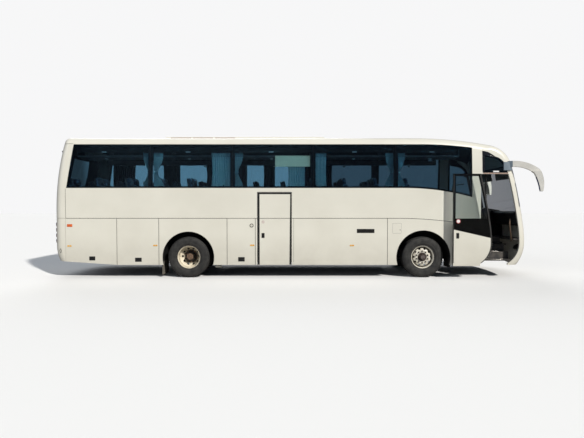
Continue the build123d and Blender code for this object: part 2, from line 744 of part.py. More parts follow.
# Underframe: rails over both axles, sills under the hold, posts and cross members
with BuildPart() as underframe:
    front_y = (FRONT_RAIL_Y - RAIL_W / 2, FRONT_RAIL_Y + RAIL_W / 2)
    rear_y = (REAR_RAIL_Y - RAIL_W / 2, REAR_RAIL_Y + RAIL_W / 2)
    rail_top = RAIL_Z + RAIL_H
    post = 60
    front_post_x = HOLD_FRONT_X + SEAT
    rear_post_x = HOLD_REAR_X - SEAT - post
    hold_low = HOLD_FLOOR_Z - HOLD_FLOOR_T
    add(both_sides(span(front_post_x, 5650, *front_y, RAIL_Z, rail_top)))
    add(both_sides(span(-5950, rear_post_x + post, *rear_y, RAIL_Z, rail_top)))
    add(both_sides(span(front_post_x, front_post_x + post, *front_y, SILL_Z, rail_top)))
    add(both_sides(span(rear_post_x, rear_post_x + post, *rear_y, SILL_Z, rail_top)))
    add(both_sides(span(rear_post_x, front_post_x + post, *front_y, SILL_Z, hold_low)))
    for x in (rear_post_x, -1000, 700, front_post_x):
        add(span(x, x + post, -1150, 1150, SILL_Z, hold_low))
    for x in (4200, 5590):
        add(span(x, x + post, -front_y[1], front_y[1], RAIL_Z, rail_top))
    for x in (-5950, -3700):
        add(span(x, x + post, -rear_y[1], rear_y[1], RAIL_Z, rail_top))
    for x0, x1, y, pin_x in TOW_EYES:
        add(span(x0, x1, y - RAIL_W / 2, y + RAIL_W / 2, TOW_EYE_Z - TOW_EYE_T / 2, TOW_EYE_Z + TOW_EYE_T / 2))
        with Locations((pin_x, y, TOW_EYE_Z)):
            Cylinder(TOW_EYE_R, 2 * TOW_EYE_T, mode=Mode.SUBTRACT)
save(underframe.part, "underframe")


def axle_beam():
    """Dropped front axle beam with an eye at each end for the kingpin."""
    low, high = 395, 485
    half_x = 40
    eye = KINGPIN_Y
    points = [(-eye, 480), (-760, 480), (-620, low), (620, low), (760, 480), (eye, 480),
              (eye, 564), (720, 564), (600, high), (-600, high), (-720, 564), (-eye, 564)]
    with BuildPart(mode=Mode.PRIVATE) as beam:
        with BuildSketch(Plane.YZ.offset(FRONT_AXLE_X - half_x)):
            Polygon(*points, align=None)
        extrude(amount=2 * half_x)
        with Locations((FRONT_AXLE_X, eye, TYRE_R), (FRONT_AXLE_X, -eye, TYRE_R)):
            Cylinder(48, 84)
            Cylinder(KINGPIN_R + PIN_CLEAR, 200, mode=Mode.SUBTRACT)
        for x in (-1, 1):
            for y in (-FRONT_RAIL_Y, FRONT_RAIL_Y):
                with Locations((FRONT_AXLE_X + x * 190, y, 0)):
                    with Locations((0, 0, high - 20)):
                        Box(200, 130, 40)
                    with Locations((0, 0, (high + RAIL_Z - SEAT) / 2)):
                        Cylinder(72, RAIL_Z - SEAT - high)
            with Locations((FRONT_AXLE_X + x * 60, -FRONT_RAIL_Y, high - 20)):
                Box(180, 130, 40)
            with Locations((FRONT_AXLE_X + x * 60, FRONT_RAIL_Y, high - 20)):
                Box(180, 130, 40)
    return beam.part


save(axle_beam(), "front_axle")


def knuckle(side):
    """Steering knuckle: yoke and kingpin round the axle's eye, brake disc, stub and steering arm."""
    y = side * KINGPIN_Y
    inner = y + side * 50
    outer = side * (FRONT_HUB_Y - SEAT)
    with BuildPart(mode=Mode.PRIVATE) as part:
        with Locations((FRONT_AXLE_X, y, TYRE_R)):
            Cylinder(KINGPIN_R, 180)
            for z in (-1, 1):
                with Locations((0, 0, z * 66)):
                    Cylinder(44, 46)
        with Locations((FRONT_AXLE_X, y + side * 62, TYRE_R)):
            Box(90, 26, 178)
        for z in (-1, 1):
            with Locations((FRONT_AXLE_X, y + side * 30, TYRE_R + z * 66)):
                Box(88, 64, 46)
        with Locations((FRONT_AXLE_X, (inner + outer) / 2, TYRE_R)):
            Cylinder(42, abs(outer - inner), rotation=(90, 0, 0))
        with Locations((FRONT_AXLE_X, y + side * 88, TYRE_R)):
            Cylinder(215, 34, rotation=(90, 0, 0))
        with Locations((FRONT_AXLE_X - 110, y, TYRE_R - 72)):
            Box(220, 50, 30)
    return part.part


for side, name in ((-1, "right"), (1, "left")):
    save(knuckle(side), f"knuckle_{name}")

# Rear axle: housing, differential, hub ends and the air springs on their arms
with BuildPart() as rear_axle:
    with Locations((REAR_AXLE_X, 0, TYRE_R)):
        Cylinder(72, 2 * (REAR_HUB_Y - SEAT), rotation=(90, 0, 0))
        Cylinder(190, 210, rotation=(90, 0, 0))
        Cylinder(110, 420, rotation=(90, 0, 0))
    for x in (-1, 1):
        for y in (-1, 1):
            with Locations((REAR_AXLE_X + x * 330, y * REAR_RAIL_Y, (500 + RAIL_Z - SEAT) / 2)):
                Cylinder(54, RAIL_Z - SEAT - 500)
    for y in (-1, 1):
        with Locations((REAR_AXLE_X, y * REAR_RAIL_Y, 475)):
            Box(800, 90, 60)
save(rear_axle.part, "rear_axle")


def tyre_at(y):
    """A ribbed road tyre turned about its axle."""
    half = TYRE_W / 2
    with BuildPart(mode=Mode.PRIVATE) as tyre:
        with BuildSketch(Plane.YZ):
            with BuildLine():
                Polyline((y - half + 40, BEAD_R), (y + half - 40, BEAD_R))
                ThreePointArc((y + half - 40, BEAD_R), (y + half, (BEAD_R + TYRE_R) / 2 + 6),
                              (y + half - 28, TYRE_R - 22))
                ThreePointArc((y + half - 28, TYRE_R - 22), (y + half - 34, TYRE_R - 9),
                              (y + half - 48, TYRE_R - 4))
                ThreePointArc((y + half - 48, TYRE_R - 4), (y, TYRE_R), (y - half + 48, TYRE_R - 4))
                ThreePointArc((y - half + 48, TYRE_R - 4), (y - half + 34, TYRE_R - 9),
                              (y - half + 28, TYRE_R - 22))
                ThreePointArc((y - half + 28, TYRE_R - 22), (y - half, (BEAD_R + TYRE_R) / 2 + 6),
                              (y - half + 40, BEAD_R))
            make_face()
        revolve(axis=Axis.Y)
    return tyre.part


def rim_at(y, side, disc, dish):
    """A rim with its disc, which stands at disc and bulges by dish; side 1 shows its face to +Y."""
    half = TYRE_W / 2 - 40
    r = BEAD_R - SEAT
    t = 9
    inner = [(y - half, r), (y - half - 8, RIM_LIP_R - 12), (y - half - 8, RIM_LIP_R - 12 - t),
             (y - half + t, r - t - 6)]
    outer = [(y + half - t, r - t - 6), (y + half + 8, RIM_LIP_R - 12 - t),
             (y + half + 8, RIM_LIP_R - 12), (y + half, r)]
    face = disc + side * dish
    with BuildPart(mode=Mode.PRIVATE) as rim:
        with BuildSketch(Plane.YZ):
            Polygon(*inner, *outer, align=None)
            with BuildLine():
                Polyline((disc, r - 12), (disc + side * 12, r - 12), (face + side * 12, 165),
                         (face + side * 12, 88), (face, 88), (face, 165), close=True)
            make_face()
        revolve(axis=Axis.Y)
        with BuildSketch(Plane.XZ.offset(-face)):
            with PolarLocations(212, HAND_HOLES):
                SlotOverall(62, 42, rotation=90)
        extrude(amount=160, both=True, mode=Mode.SUBTRACT)
    return rim.part


def hub_at(y0, y1, radius):
    """A hub turned about the axle."""
    with BuildPart(mode=Mode.PRIVATE) as hub:
        with Locations((0, (y0 + y1) / 2, 0)):
            Cylinder(radius, abs(y1 - y0), rotation=(90, 0, 0))
    return hub.part


def place(part, x):
    """Move a wheel part from the axle's own line to its axle."""
    return part.translate((x, 0, TYRE_R))


for side, name in ((-1, "right"), (1, "left")):
    y = side * FRONT_TYRE_Y
    with BuildPart() as tyre:
        add(place(tyre_at(y), FRONT_AXLE_X))
    save(tyre.part, f"tyre_front_{name}")
    with BuildPart() as rim:
        add(rim_at(y, side, y + side * 20, 50))
        add(hub_at(side * FRONT_HUB_Y, y + side * 110, 92))
        add(hub_at(y + side * 108, y + side * 150, 62))
    save(place(rim.part, FRONT_AXLE_X), f"rim_front_{name}")

    outer = side * REAR_OUTER_Y
    inner = side * (REAR_OUTER_Y - TWIN_PITCH)
    middle = (outer + inner) / 2
    with BuildPart() as tyres:
        add(place(tyre_at(outer), REAR_AXLE_X))
        add(place(tyre_at(inner), REAR_AXLE_X))
    save(tyres.part, f"tyres_rear_{name}")
    with BuildPart() as rims:
        add(rim_at(outer, -side, outer - side * 60, 98))
        add(rim_at(inner, side, inner + side * 60, 98))
        add(hub_at(side * REAR_HUB_Y, middle + side * 95, 110))
        add(hub_at(middle + side * 94, middle + side * 165, 84))
    save(place(rims.part, REAR_AXLE_X), f"rims_rear_{name}")


def liner(x, arch_r, inner_y, side):
    """Wheelhouse: a bent plate over the wheel with a closed inner wall."""
    r = arch_r + LINER_CLEAR
    inner = side * inner_y
    outer = side * (HALF_W - WALL - SEAT)
    with BuildPart(mode=Mode.PRIVATE) as part:
        with BuildSketch(Plane.XZ.offset(-inner)):
            with Locations((x, TYRE_R)):
                Circle(r + LINER)
                Circle(r, mode=Mode.SUBTRACT)
        extrude(amount=-(outer - inner) if side > 0 else inner - outer)
        with BuildSketch(Plane.XZ.offset(-inner)):
            with Locations((x, TYRE_R)):
                Circle(r + LINER)
        extrude(amount=LINER if side > 0 else -LINER)
        add(span(x - 2 * r, x + 2 * r, -BIG, BIG, -BIG, LINER_LOW_Z), mode=Mode.SUBTRACT)
    return part.part


# Wheelhouses, open round each axle
with BuildPart() as wheel_liners:
    for side in (-1, 1):
        add(liner(FRONT_AXLE_X, FRONT_ARCH_R, FRONT_LINER_Y, side))
        add(liner(REAR_AXLE_X, REAR_ARCH_R, REAR_LINER_Y, side))
    add(span(FRONT_AXLE_X - 420, FRONT_AXLE_X + 420, -600, 600, 0, 640), mode=Mode.SUBTRACT)
    add(span(REAR_AXLE_X - 120, REAR_AXLE_X + 120, -620, 620, 0, 640), mode=Mode.SUBTRACT)
save(wheel_liners.part, "wheel_liners")

# Mud flaps behind the rear wheels
with BuildPart() as mud_flaps:
    flap_x = REAR_AXLE_X - REAR_ARCH_R - LINER_CLEAR - LINER - SEAT
    add(both_sides(span(flap_x - 10, flap_x, 620, 1200, 70, TYRE_R + 10)))
save(mud_flaps.part, "mud_flaps")

# Engine, one plain block on four feet, and the fuel tank on the hold floor
with BuildPart() as engine_block:
    feet_y = REAR_RAIL_Y - RAIL_W / 2 - SEAT
    add(span(-5750, -4550, -420, 420, 480, 1300))
    for x in (-5600, -4800):
        add(span(x, x + 100, -feet_y, feet_y, RAIL_Z + 20, RAIL_Z + 90))
save(engine_block.part, "engine_block")

with BuildPart() as fuel_tank:
    add(span(-1980, -1110, -1000, 1000, HOLD_FLOOR_Z + SEAT, 1180))
    fillet(fuel_tank.edges().filter_by(Axis.Y), 60)
save(fuel_tank.part, "fuel_tank")

# Roof pod with sloping ends and three air slots on each side
with BuildPart() as roof_pod:
    x0, x1, x2, x3 = POD_X
    with BuildSketch(Plane.XZ):
        Polygon((x0, ROOF_Z), (x1, ROOF_Z + POD_H), (x2, ROOF_Z + POD_H), (x3, ROOF_Z), align=None)
    extrude(amount=POD_HALF_W, both=True)
    fillet(roof_pod.edges().filter_by(Axis.X).group_by(Axis.Z)[-1], 45)
    for x in POD_SLOTS_X:
        for y in (-POD_HALF_W, POD_HALF_W):
            add(span(x - POD_SLOT_L / 2, x + POD_SLOT_L / 2, y - 30, y + 30, ROOF_Z + 18, ROOF_Z + 50),
                mode=Mode.SUBTRACT)
save(roof_pod.part, "roof_pod")


def mirror_side(width):
    """The mirror arm's drooping side view, given a width."""
    turn = radians(MIRROR_OUT)
    root = Plane(origin=(*MIRROR_ROOT, 0), x_dir=(cos(turn), -sin(turn), 0), z_dir=(-sin(turn), -cos(turn), 0))
    with BuildPart(mode=Mode.PRIVATE) as arm:
        with BuildSketch(root):
            with BuildLine():
                Polyline((0, 2800), (0, 2965), (120, 2975))
                ThreePointArc((120, 2975), (520, 2915), MIRROR_BEND)
                ThreePointArc(MIRROR_BEND, MIRROR_OUTER, MIRROR_TIP)
                Line(MIRROR_TIP, MIRROR_TIP_IN)
                ThreePointArc(MIRROR_TIP_IN, MIRROR_INNER, MIRROR_THROAT)
                ThreePointArc(MIRROR_THROAT, (470, 2780), (0, 2800))
            make_face()
        extrude(amount=width / 2, both=True)
    return arm.part


def mirror_arm():
    """Right mirror: an arm from the front corner and the wider head that hangs from it."""
    head = mirror_side(MIRROR_HEAD_W) & span(-BIG, BIG, -BIG, BIG, 0, MIRROR_HEAD_Z)
    return mirror_side(MIRROR_ARM_T) + head


with BuildPart() as mirrors:
    x0, x1, z0, z1 = MIRROR_BOSS
    mirror_boss = body_layer(-40, -MIRROR_GAP) & span(x0, x1, -BIG, -1000, z0, z1)
    right = mirror_arm() - body_block(-MIRROR_ARM_GAP)
    add(both_sides(right + mirror_boss))
save(mirrors.part, "mirrors")


def seat_pair(x, y, floor_z, back_z, width):
    """Two seats side by side: pedestal, cushion and leaning back, seen from the side."""
    cushion_z = floor_z + 440
    points = [(x, cushion_z - 120), (x, cushion_z), (x - 400, cushion_z - 20), (x - 560, back_z),
              (x - 660, back_z - 10), (x - 520, cushion_z - 140), (x - 300, cushion_z - 130)]
    with BuildPart(mode=Mode.PRIVATE) as pair:
        with BuildSketch(Plane.XZ.offset(-y)):
            Polygon(*points, align=None)
            Polygon((x - 340, floor_z + SEAT), (x - 340, cushion_z - 110), (x - 180, cushion_z - 110),
                    (x - 180, floor_z + SEAT), align=None)
        extrude(amount=width / 2, both=True)
        fillet(pair.edges().filter_by(Axis.Y).group_by(Axis.Z)[-1], 40)
    return pair.part


# Seats: rows on both sides of the aisle, none over the middle stairwell, and the driver's
with BuildPart() as seats:
    for row in range(SEAT_ROWS):
        x = SEAT_FRONT_X - row * SEAT_PITCH
        add(seat_pair(x, SEAT_Y, FLOOR_Z, SEAT_BACK_Z, SEAT_PAIR_W))
        if x - 680 > MID_STEPS_X[1] or x < MID_STEPS_X[0]:
            add(seat_pair(x, -SEAT_Y, FLOOR_Z, SEAT_BACK_Z, SEAT_PAIR_W))
    add(seat_pair(5000, 620, DRIVER_FLOOR_Z, DRIVER_FLOOR_Z + 1150, 480))
save(seats.part, "seats")

# Dashboard: deep in front of the driver, shallow across to the door
with BuildPart() as dashboard:
    points = [(5380, DRIVER_FLOOR_Z + SEAT), (5330, 1500), (5240, 1640), (5330, 1760), (5420, 1790),
              (NOSE_X, 1700), (NOSE_X, DRIVER_FLOOR_Z + SEAT)]
    with BuildSketch(Plane.XZ.offset(-150)):
        Polygon(*points, align=None)
    extrude(amount=-1050)
    shelf = [(5640, 1350), (5600, 1650), (5660, 1700), (NOSE_X, 1690), (NOSE_X, 1350)]
    with BuildSketch(Plane.XZ.offset(-150)):
        Polygon(*shelf, align=None)
    extrude(amount=1300)
    add(room, mode=Mode.INTERSECT)
save(dashboard.part, "dashboard")

# Steering wheel on its column
with BuildPart() as steering_wheel:
    hub = Plane(origin=(5130, 620, 1800), z_dir=(-0.62, 0, 0.78))
    with BuildSketch(hub):
        Circle(50)
        with PolarLocations(110, 4, start_angle=45):
            Rectangle(230, 30)
    extrude(amount=14, both=True)
    with BuildSketch(Plane(origin=(5130, 620, 1800), x_dir=(0, 1, 0), z_dir=(0.78, 0, 0.62))):
        with Locations((225, 0)):
            Circle(15)
    revolve(axis=Axis((5130, 620, 1800), (-0.62, 0, 0.78)))
    with BuildSketch(hub):
        Circle(28)
    extrude(amount=-230)
    add(dashboard.part, mode=Mode.SUBTRACT)
save(steering_wheel.part, "steering_wheel")

# Luggage racks with their brackets and curtain rails
with BuildPart() as luggage_racks:
    with BuildSketch(Plane.YZ.offset(RACK_X[0])):
        y0, y1 = RACK_Y
        Polygon((y0, RACK_Z + 40), (y0 + 40, RACK_Z), (y1, RACK_Z + 40), (y1, RACK_Z + 75),
                (y0 + 60, RACK_Z + 40), (y0 + 30, RACK_Z + 130), (y0, RACK_Z + 130), align=None)
    extrude(amount=RACK_X[1] - RACK_X[0])
    add(span(*RACK_X, *RAIL_Y, CURTAIN_TOP_Z, CURTAIN_TOP_Z + 25))
    for x in [RACK_X[0]] + DIVIDERS_X + [RACK_X[1] - 24]:
        add(span(x, x + 24, y0 + 10, RAIL_Y[1], RACK_Z + 35, ROOF_Z - WALL - SEAT))
    for x in [RACK_X[0]] + DIVIDERS_X + [RACK_X[1] - 24]:
        add(span(x - 1, x + 25, y1, RAIL_Y[1] + 1, 0, CURTAIN_TOP_Z), mode=Mode.SUBTRACT)
    mirror(about=Plane.XZ)
    add(body_block(WALL + SEAT), mode=Mode.INTERSECT)
save(luggage_racks.part, "luggage_racks")


def curtain(x, side):
    """A gathered curtain as a folded plate that hangs from its rail."""
    folds = 6
    pitch = 46
    depth = 24
    middle = sum(RAIL_Y) / 2
    front = []
    for i in range(2 * folds + 1):
        front.append((x + (i - folds) * pitch / 2, side * (middle - depth / 2 + (i % 2) * depth)))
    back = [(px, py + side * 7) for px, py in reversed(front)]
    with BuildPart(mode=Mode.PRIVATE) as part:
        with BuildSketch(Plane.XY.offset(WINDOW_LOW_Z + 10)):
            Polygon(*front, *back, align=None)
        extrude(amount=CURTAIN_TOP_Z - SEAT - WINDOW_LOW_Z - 10)
    return part.part


with BuildPart() as curtains:
    for side in (-1, 1):
        for x in DIVIDERS_X:
            add(curtain(x, side))
        add(curtain(RACK_X[0] + 190, side))
save(curtains.part, "curtains")

# Blank board that hangs behind the middle window on the right
with BuildPart() as sign_board:
    add(span(-550, 350, -1108, -1100 - SEAT, 2850, 3130))
save(sign_board.part, "sign_board")
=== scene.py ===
"""Looks of the touring coach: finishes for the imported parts, and modelled wheels, seats, curtains and trim.

Metres, in the frame of the part: +X forward, +Y the left side, +Z up, origin on the ground.
"""
import json
import math
import random

import bmesh
import bpy
from mathutils import Matrix, Vector
from mathutils.bvhtree import BVHTree


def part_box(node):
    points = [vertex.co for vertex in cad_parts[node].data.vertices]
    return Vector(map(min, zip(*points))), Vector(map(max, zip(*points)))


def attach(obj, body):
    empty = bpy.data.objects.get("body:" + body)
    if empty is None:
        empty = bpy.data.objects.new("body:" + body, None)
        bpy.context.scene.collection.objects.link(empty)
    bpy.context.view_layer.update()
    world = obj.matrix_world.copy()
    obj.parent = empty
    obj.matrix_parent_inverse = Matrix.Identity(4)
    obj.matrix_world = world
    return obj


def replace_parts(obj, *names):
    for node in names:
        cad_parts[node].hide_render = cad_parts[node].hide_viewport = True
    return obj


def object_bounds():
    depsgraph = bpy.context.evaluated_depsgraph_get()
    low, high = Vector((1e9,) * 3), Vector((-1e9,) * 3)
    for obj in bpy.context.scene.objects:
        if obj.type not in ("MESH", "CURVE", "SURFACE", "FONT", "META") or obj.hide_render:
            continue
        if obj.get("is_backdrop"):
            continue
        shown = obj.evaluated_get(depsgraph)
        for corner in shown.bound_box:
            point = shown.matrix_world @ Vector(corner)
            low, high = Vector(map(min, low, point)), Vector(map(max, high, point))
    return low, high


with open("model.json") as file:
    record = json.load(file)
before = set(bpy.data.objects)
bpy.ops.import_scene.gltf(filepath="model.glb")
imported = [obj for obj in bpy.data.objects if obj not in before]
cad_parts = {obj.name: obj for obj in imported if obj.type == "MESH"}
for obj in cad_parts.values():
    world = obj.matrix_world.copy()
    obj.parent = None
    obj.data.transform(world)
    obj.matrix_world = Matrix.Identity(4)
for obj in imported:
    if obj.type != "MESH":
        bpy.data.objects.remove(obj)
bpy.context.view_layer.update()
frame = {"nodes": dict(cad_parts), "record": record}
nodes = frame["nodes"]
scene = bpy.context.scene

# Places shared by several pieces, the same as in the part
SIDES = {"right": -1, "left": 1}
HALF_W = 1.275
TRIM_Y = HALF_W - 0.0006  # where trim is seated on a side wall
DOOR_SKIN_Y = 1.4772  # the open front door's outer skin
WALL_BEND_Z = 2.2
WALL_LEAN_R = 14.0
SKIRT_Z = 0.33
FLOOR_Z = 1.47
DRIVER_FLOOR_Z = 1.0
TYRE_R = 0.522
FRONT_AXLE_X = 3.24
REAR_AXLE_X = -2.76

# Camera, at the photograph's viewing angle
CAMERA_PITCH = -1.37
camera = bpy.data.objects.new("camera", bpy.data.cameras.new("camera"))
camera.location = (-0.114, -12.455, 1.77)
camera.rotation_euler = (math.radians(90 + CAMERA_PITCH), 0, 0)
camera.data.lens = 27.06
camera.data.sensor_width = 36
camera.data.clip_end = 400
scene.collection.objects.link(camera)
scene.camera = camera


# Outlines and places
def circle(count, shift=0.0):
    """Angles evenly round a circle, shifted by a share of their step."""
    return [2 * math.pi * (i + shift) / count for i in range(count)]


def arc(centre, radius, start, end, count):
    """Points (u, v) on an arc, angles in degrees."""
    angles = [math.radians(start + (end - start) * i / count) for i in range(count + 1)]
    return [(centre[0] + radius * math.cos(a), centre[1] + radius * math.sin(a)) for a in angles]


def rounded_outline(u0, u1, v0, v1, r, steps=4):
    """A rectangle with rounded corners."""
    points = []
    corners = ((u1 - r, v1 - r), (u0 + r, v1 - r), (u0 + r, v0 + r), (u1 - r, v0 + r))
    for corner, start in zip(corners, (0, 90, 180, 270)):
        points += arc(corner, r, start, start + 90, steps)
    return points


def dense(outline, step=0.05):
    """More points along a closed outline."""
    points = []
    for a, b in zip(outline, outline[1:] + outline[:1]):
        count = max(1, round(math.dist(a, b) / step))
        for i in range(count):
            points.append((a[0] + (b[0] - a[0]) * i / count, a[1] + (b[1] - a[1]) * i / count))
    return points


def axis_place(at, axis):
    """A matrix at a point whose Z axis lies along a direction."""
    turn = Vector(axis).to_track_quat("Z", "Y").to_matrix().to_4x4()
    return Matrix.Translation(Vector(at)) @ turn


def moved(place, x, y=0.0, z=0.0):
    """A matrix moved along its own axes."""
    return place @ Matrix.Translation((x, y, z))


def on_wall(side, x, z, y=TRIM_Y):
    """A matrix on a side wall: local X along the wall, local Y up, local Z outwards."""
    turn = Matrix(((-side, 0, 0), (0, 0, side), (0, 1, 0))).to_4x4()
    return Matrix.Translation((x, side * y, z)) @ turn


class Form:
    """Boxes, turned forms, tubes and plates that become one piece."""

    def __init__(self):
        self.bm = bmesh.new()

    def rings(self, rings, closed=True, cap=True, loop=False):
        """Bridge rings of points; closed joins each one's ends, cap fills the outer two, loop joins them."""
        made = [[self.bm.verts.new(p) for p in ring] for ring in rings]
        if loop:
            made.append(made[0])
        count = len(made[0])
        for a, b in zip(made, made[1:]):
            for i in range(count if closed else count - 1):
                j = (i + 1) % count
                self.bm.faces.new((a[i], a[j], b[j], b[i]))
        if cap and closed and not loop:
            self.bm.faces.new(made[0][::-1])
            self.bm.faces.new(made[-1])
        return self

    def grid(self, rows):
        """An open sheet through rows of points."""
        return self.rings(rows, closed=False, cap=False)

    def add(self, part, place):
        """Take in another mesh, moved by a matrix."""
        bmesh.ops.transform(part, matrix=place, verts=part.verts)
        mesh = bpy.data.meshes.new("part")
        part.to_mesh(mesh)
        part.free()
        self.bm.from_mesh(mesh)
        bpy.data.meshes.remove(mesh)
        return self

    def block(self, size, place, bevel=0.0):
        """A box about a matrix, with rounded edges."""
        part = bmesh.new()
        bmesh.ops.create_cube(part, size=1)
        bmesh.ops.scale(part, vec=size, verts=part.verts)
        if bevel:
            bmesh.ops.bevel(part, geom=part.edges[:], offset=bevel, segments=2, profile=0.5, affect="EDGES")
        return self.add(part, place)

    def box(self, low, high, bevel=0.0):
        """A box between two corners, with rounded edges."""
        low, high = Vector(low), Vector(high)
        return self.block(high - low, Matrix.Translation((low + high) / 2), bevel)

    def turned(self, profile, place, steps=48, loop=False):
        """Turn a profile of (radius, height) about a matrix's Z axis; a loop is a closed profile."""
        rings = [[place @ Vector((r * math.cos(a), r * math.sin(a), height)) for a in circle(steps)]
                 for r, height in profile]
        return self.rings(rings, loop=loop)

    def tube(self, points, radius, sides=12, cap=True):
        """A round tube along points, with mitred turns; one radius, or a list with one for each point."""
        points = [Vector(p) for p in points]
        rings = []
        side = None
        for i, p in enumerate(points):
            ahead = (points[min(i + 1, len(points) - 1)] - points[max(i - 1, 0)]).normalized()
            if side is None:
                side = ahead.orthogonal().normalized()
            side = (side - ahead * side.dot(ahead)).normalized()
            up = ahead.cross(side)
            r = radius[i] if isinstance(radius, list) else radius
            rings.append([p + (side * math.cos(a) + up * math.sin(a)) * r for a in circle(sides)])
        return self.rings(rings, cap=cap)

    def plate(self, place, half_w, half_h, thick, r=0.008, edge=0.0015, at=(0, 0)):
        """A rounded plate with an eased edge that rises along the Z axis of a matrix."""
        return self.raised(place, half_w, half_h, ((0, 0), (0, thick - edge), (edge, thick)), r, 0.0004, at)

    def rim(self, place, half_w, half_h, wide, thick, r=0.01, edge=0.002):
        """A flat rounded frame that rises along the Z axis of a matrix."""
        section = ((0, 0), (0, thick - edge), (edge, thick), (wide - edge, thick), (wide, thick - edge),
                   (wide, 0), (0, 0))
        return self.raised(place, half_w, half_h, section, r, 0.0008, cap=False)

    def raised(self, place, half_w, half_h, section, r, least_r, at=(0, 0), cap=True):
        """Rounded outlines for the (inset, height) points of a section."""
        rings = []
        for inset, height in section:
            u, v = half_w - inset, half_h - inset
            outline = rounded_outline(at[0] - u, at[0] + u, at[1] - v, at[1] + v, max(r - inset, least_r))
            rings.append([place @ Vector((u, v, height)) for u, v in outline])
        return self.rings(rings, cap=cap)

    def piece(self, name, slot, finish=None, smooth=30, body="root"):
        """Make the mesh a piece that rides on a body; without a finish it has the slot's usual one."""
        bmesh.ops.recalc_face_normals(self.bm, faces=self.bm.faces)
        mesh = bpy.data.meshes.new(name)
        self.bm.to_mesh(mesh)
        self.bm.free()
        made = bpy.data.objects.new(name, mesh)
        scene.collection.objects.link(made)
        mesh.materials.append((finish or FINISHES[slot]).material)
        if smooth:
            mesh.shade_smooth()
            mesh.set_sharp_from_angle(angle=math.radians(smooth))
        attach(made, body)
        return made


# Materials
NOISE = "ShaderNodeTexNoise"
CELLS = "ShaderNodeTexVoronoi"


class Value:
    """The output of a node; operators on it add Math nodes, so comparisons make masks of 0 and 1."""

    def __init__(self, finish, socket):
        self.finish = finish
        self.socket = socket

    def math(self, operation, *others):
        made = self.finish.node("ShaderNodeMath", 0, operation=operation)
        for slot, value in zip(made.socket.node.inputs, (self, *others)):
            self.finish.put(value, slot)
        return made

    def __gt__(self, limit):
        return self.math("GREATER_THAN", limit)

    def __lt__(self, limit):
        return self.math("LESS_THAN", limit)

    def __add__(self, other):
        return self.math("ADD", other)

    def __mul__(self, other):
        return self.math("MULTIPLY", other)

    def __abs__(self):
        return self.math("ABSOLUTE")

    def __and__(self, mask):
        return self.math("MULTIPLY", mask)

    def __or__(self, mask):
        return self.math("MAXIMUM", mask)

    def __invert__(self):
        return self * -1 + 1

    def ramp(self, start, end, low=0.0, high=1.0):
        """A level that goes from low to high while this value goes from start to end."""
        return self.finish.node("ShaderNodeMapRange", "Result", Value=self, From_Min=start, From_Max=end,
                                To_Min=low, To_Max=high)


class Finish:
    """A Principled material, with nodes that vary its colour, roughness and relief."""

    def __init__(self, name, color, roughness, metallic=0.0, **sockets):
        self.material = bpy.data.materials.new(name)
        self.material.use_nodes = True
        self.tree = self.material.node_tree
        self.inputs = self.tree.nodes["Principled BSDF"].inputs
        values = {"Base_Color": (*color, 1), "Roughness": roughness, "Metallic": metallic, **sockets}
        for key, value in values.items():
            self.put(value, self.inputs[key.replace("_", " ")])
        self.place = self.node("ShaderNodeTexCoord", "Object")

    def put(self, value, slot):
        """Give an input a constant or the output of another node."""
        if isinstance(value, Value):
            self.tree.links.new(value.socket, slot)
        else:
            slot.default_value = value

    def node(self, kind, output, **values):
        """Add a node and return one of its outputs; keys of values are its properties or its inputs."""
        made = self.tree.nodes.new(kind)
        for key, value in values.items():
            if hasattr(made, key):
                setattr(made, key, value)
            else:
                self.put(value, made.inputs[key.replace("_", " ")])
        return Value(self, made.outputs[output])

    def texture(self, kind, **values):
        """A texture in the frame's coordinates."""
        return self.node(kind, "Distance" if kind == CELLS else "Fac", Vector=self.place, **values)

    def parts(self, vector):
        """The X, Y and Z of a vector."""
        split = self.node("ShaderNodeSeparateXYZ", "X", Vector=vector)
        return [Value(self, socket) for socket in split.socket.node.outputs]

    def mottle(self, low, high, scale, detail=6, spread=(0.35, 0.65)):
        """Base colour that wanders between two tones."""
        tones = self.node("ShaderNodeValToRGB", "Color", Fac=self.texture(NOISE, Scale=scale, Detail=detail))
        for stop, position, color in zip(tones.socket.node.color_ramp.elements, spread, (low, high)):
            stop.position = position
            stop.color = (*color, 1)
        self.put(tones, self.inputs["Base Color"])
        return self

    def uneven(self, low, high, scale):
        """Roughness that wanders between two values."""
        noise = self.texture(NOISE, Scale=scale, Detail=4)
        self.put(noise.ramp(0.3, 0.7, low, high), self.inputs["Roughness"])
        return self

    def relief(self, kind, strength, distance, **values):
        """Bumps from a texture."""
        height = self.texture(kind, **values)
        bump = self.node("ShaderNodeBump", "Normal", Strength=strength, Distance=distance, Height=height)
        self.put(bump, self.inputs["Normal"])
        return self

    def colour_where(self, mask, color, gloss=None):
        """Lay a colour over the base colour where a mask is 1, and set how strongly that part mirrors."""
        base = self.inputs["Base Color"]
        mixed = self.node("ShaderNodeMix", 2, data_type="RGBA", Factor=mask)
        under, over = mixed.socket.node.inputs[6:8]
        self.put(Value(self, base.links[0].from_socket), under)
        self.put((*color, 1), over)
        self.put(mixed, base)
        if gloss is not None:
            coat = self.inputs["Coat Weight"]
            self.put(mask * (gloss - 0.5) + 0.5, self.inputs["Specular IOR Level"])
            self.put(mask * -coat.default_value + coat.default_value, coat)


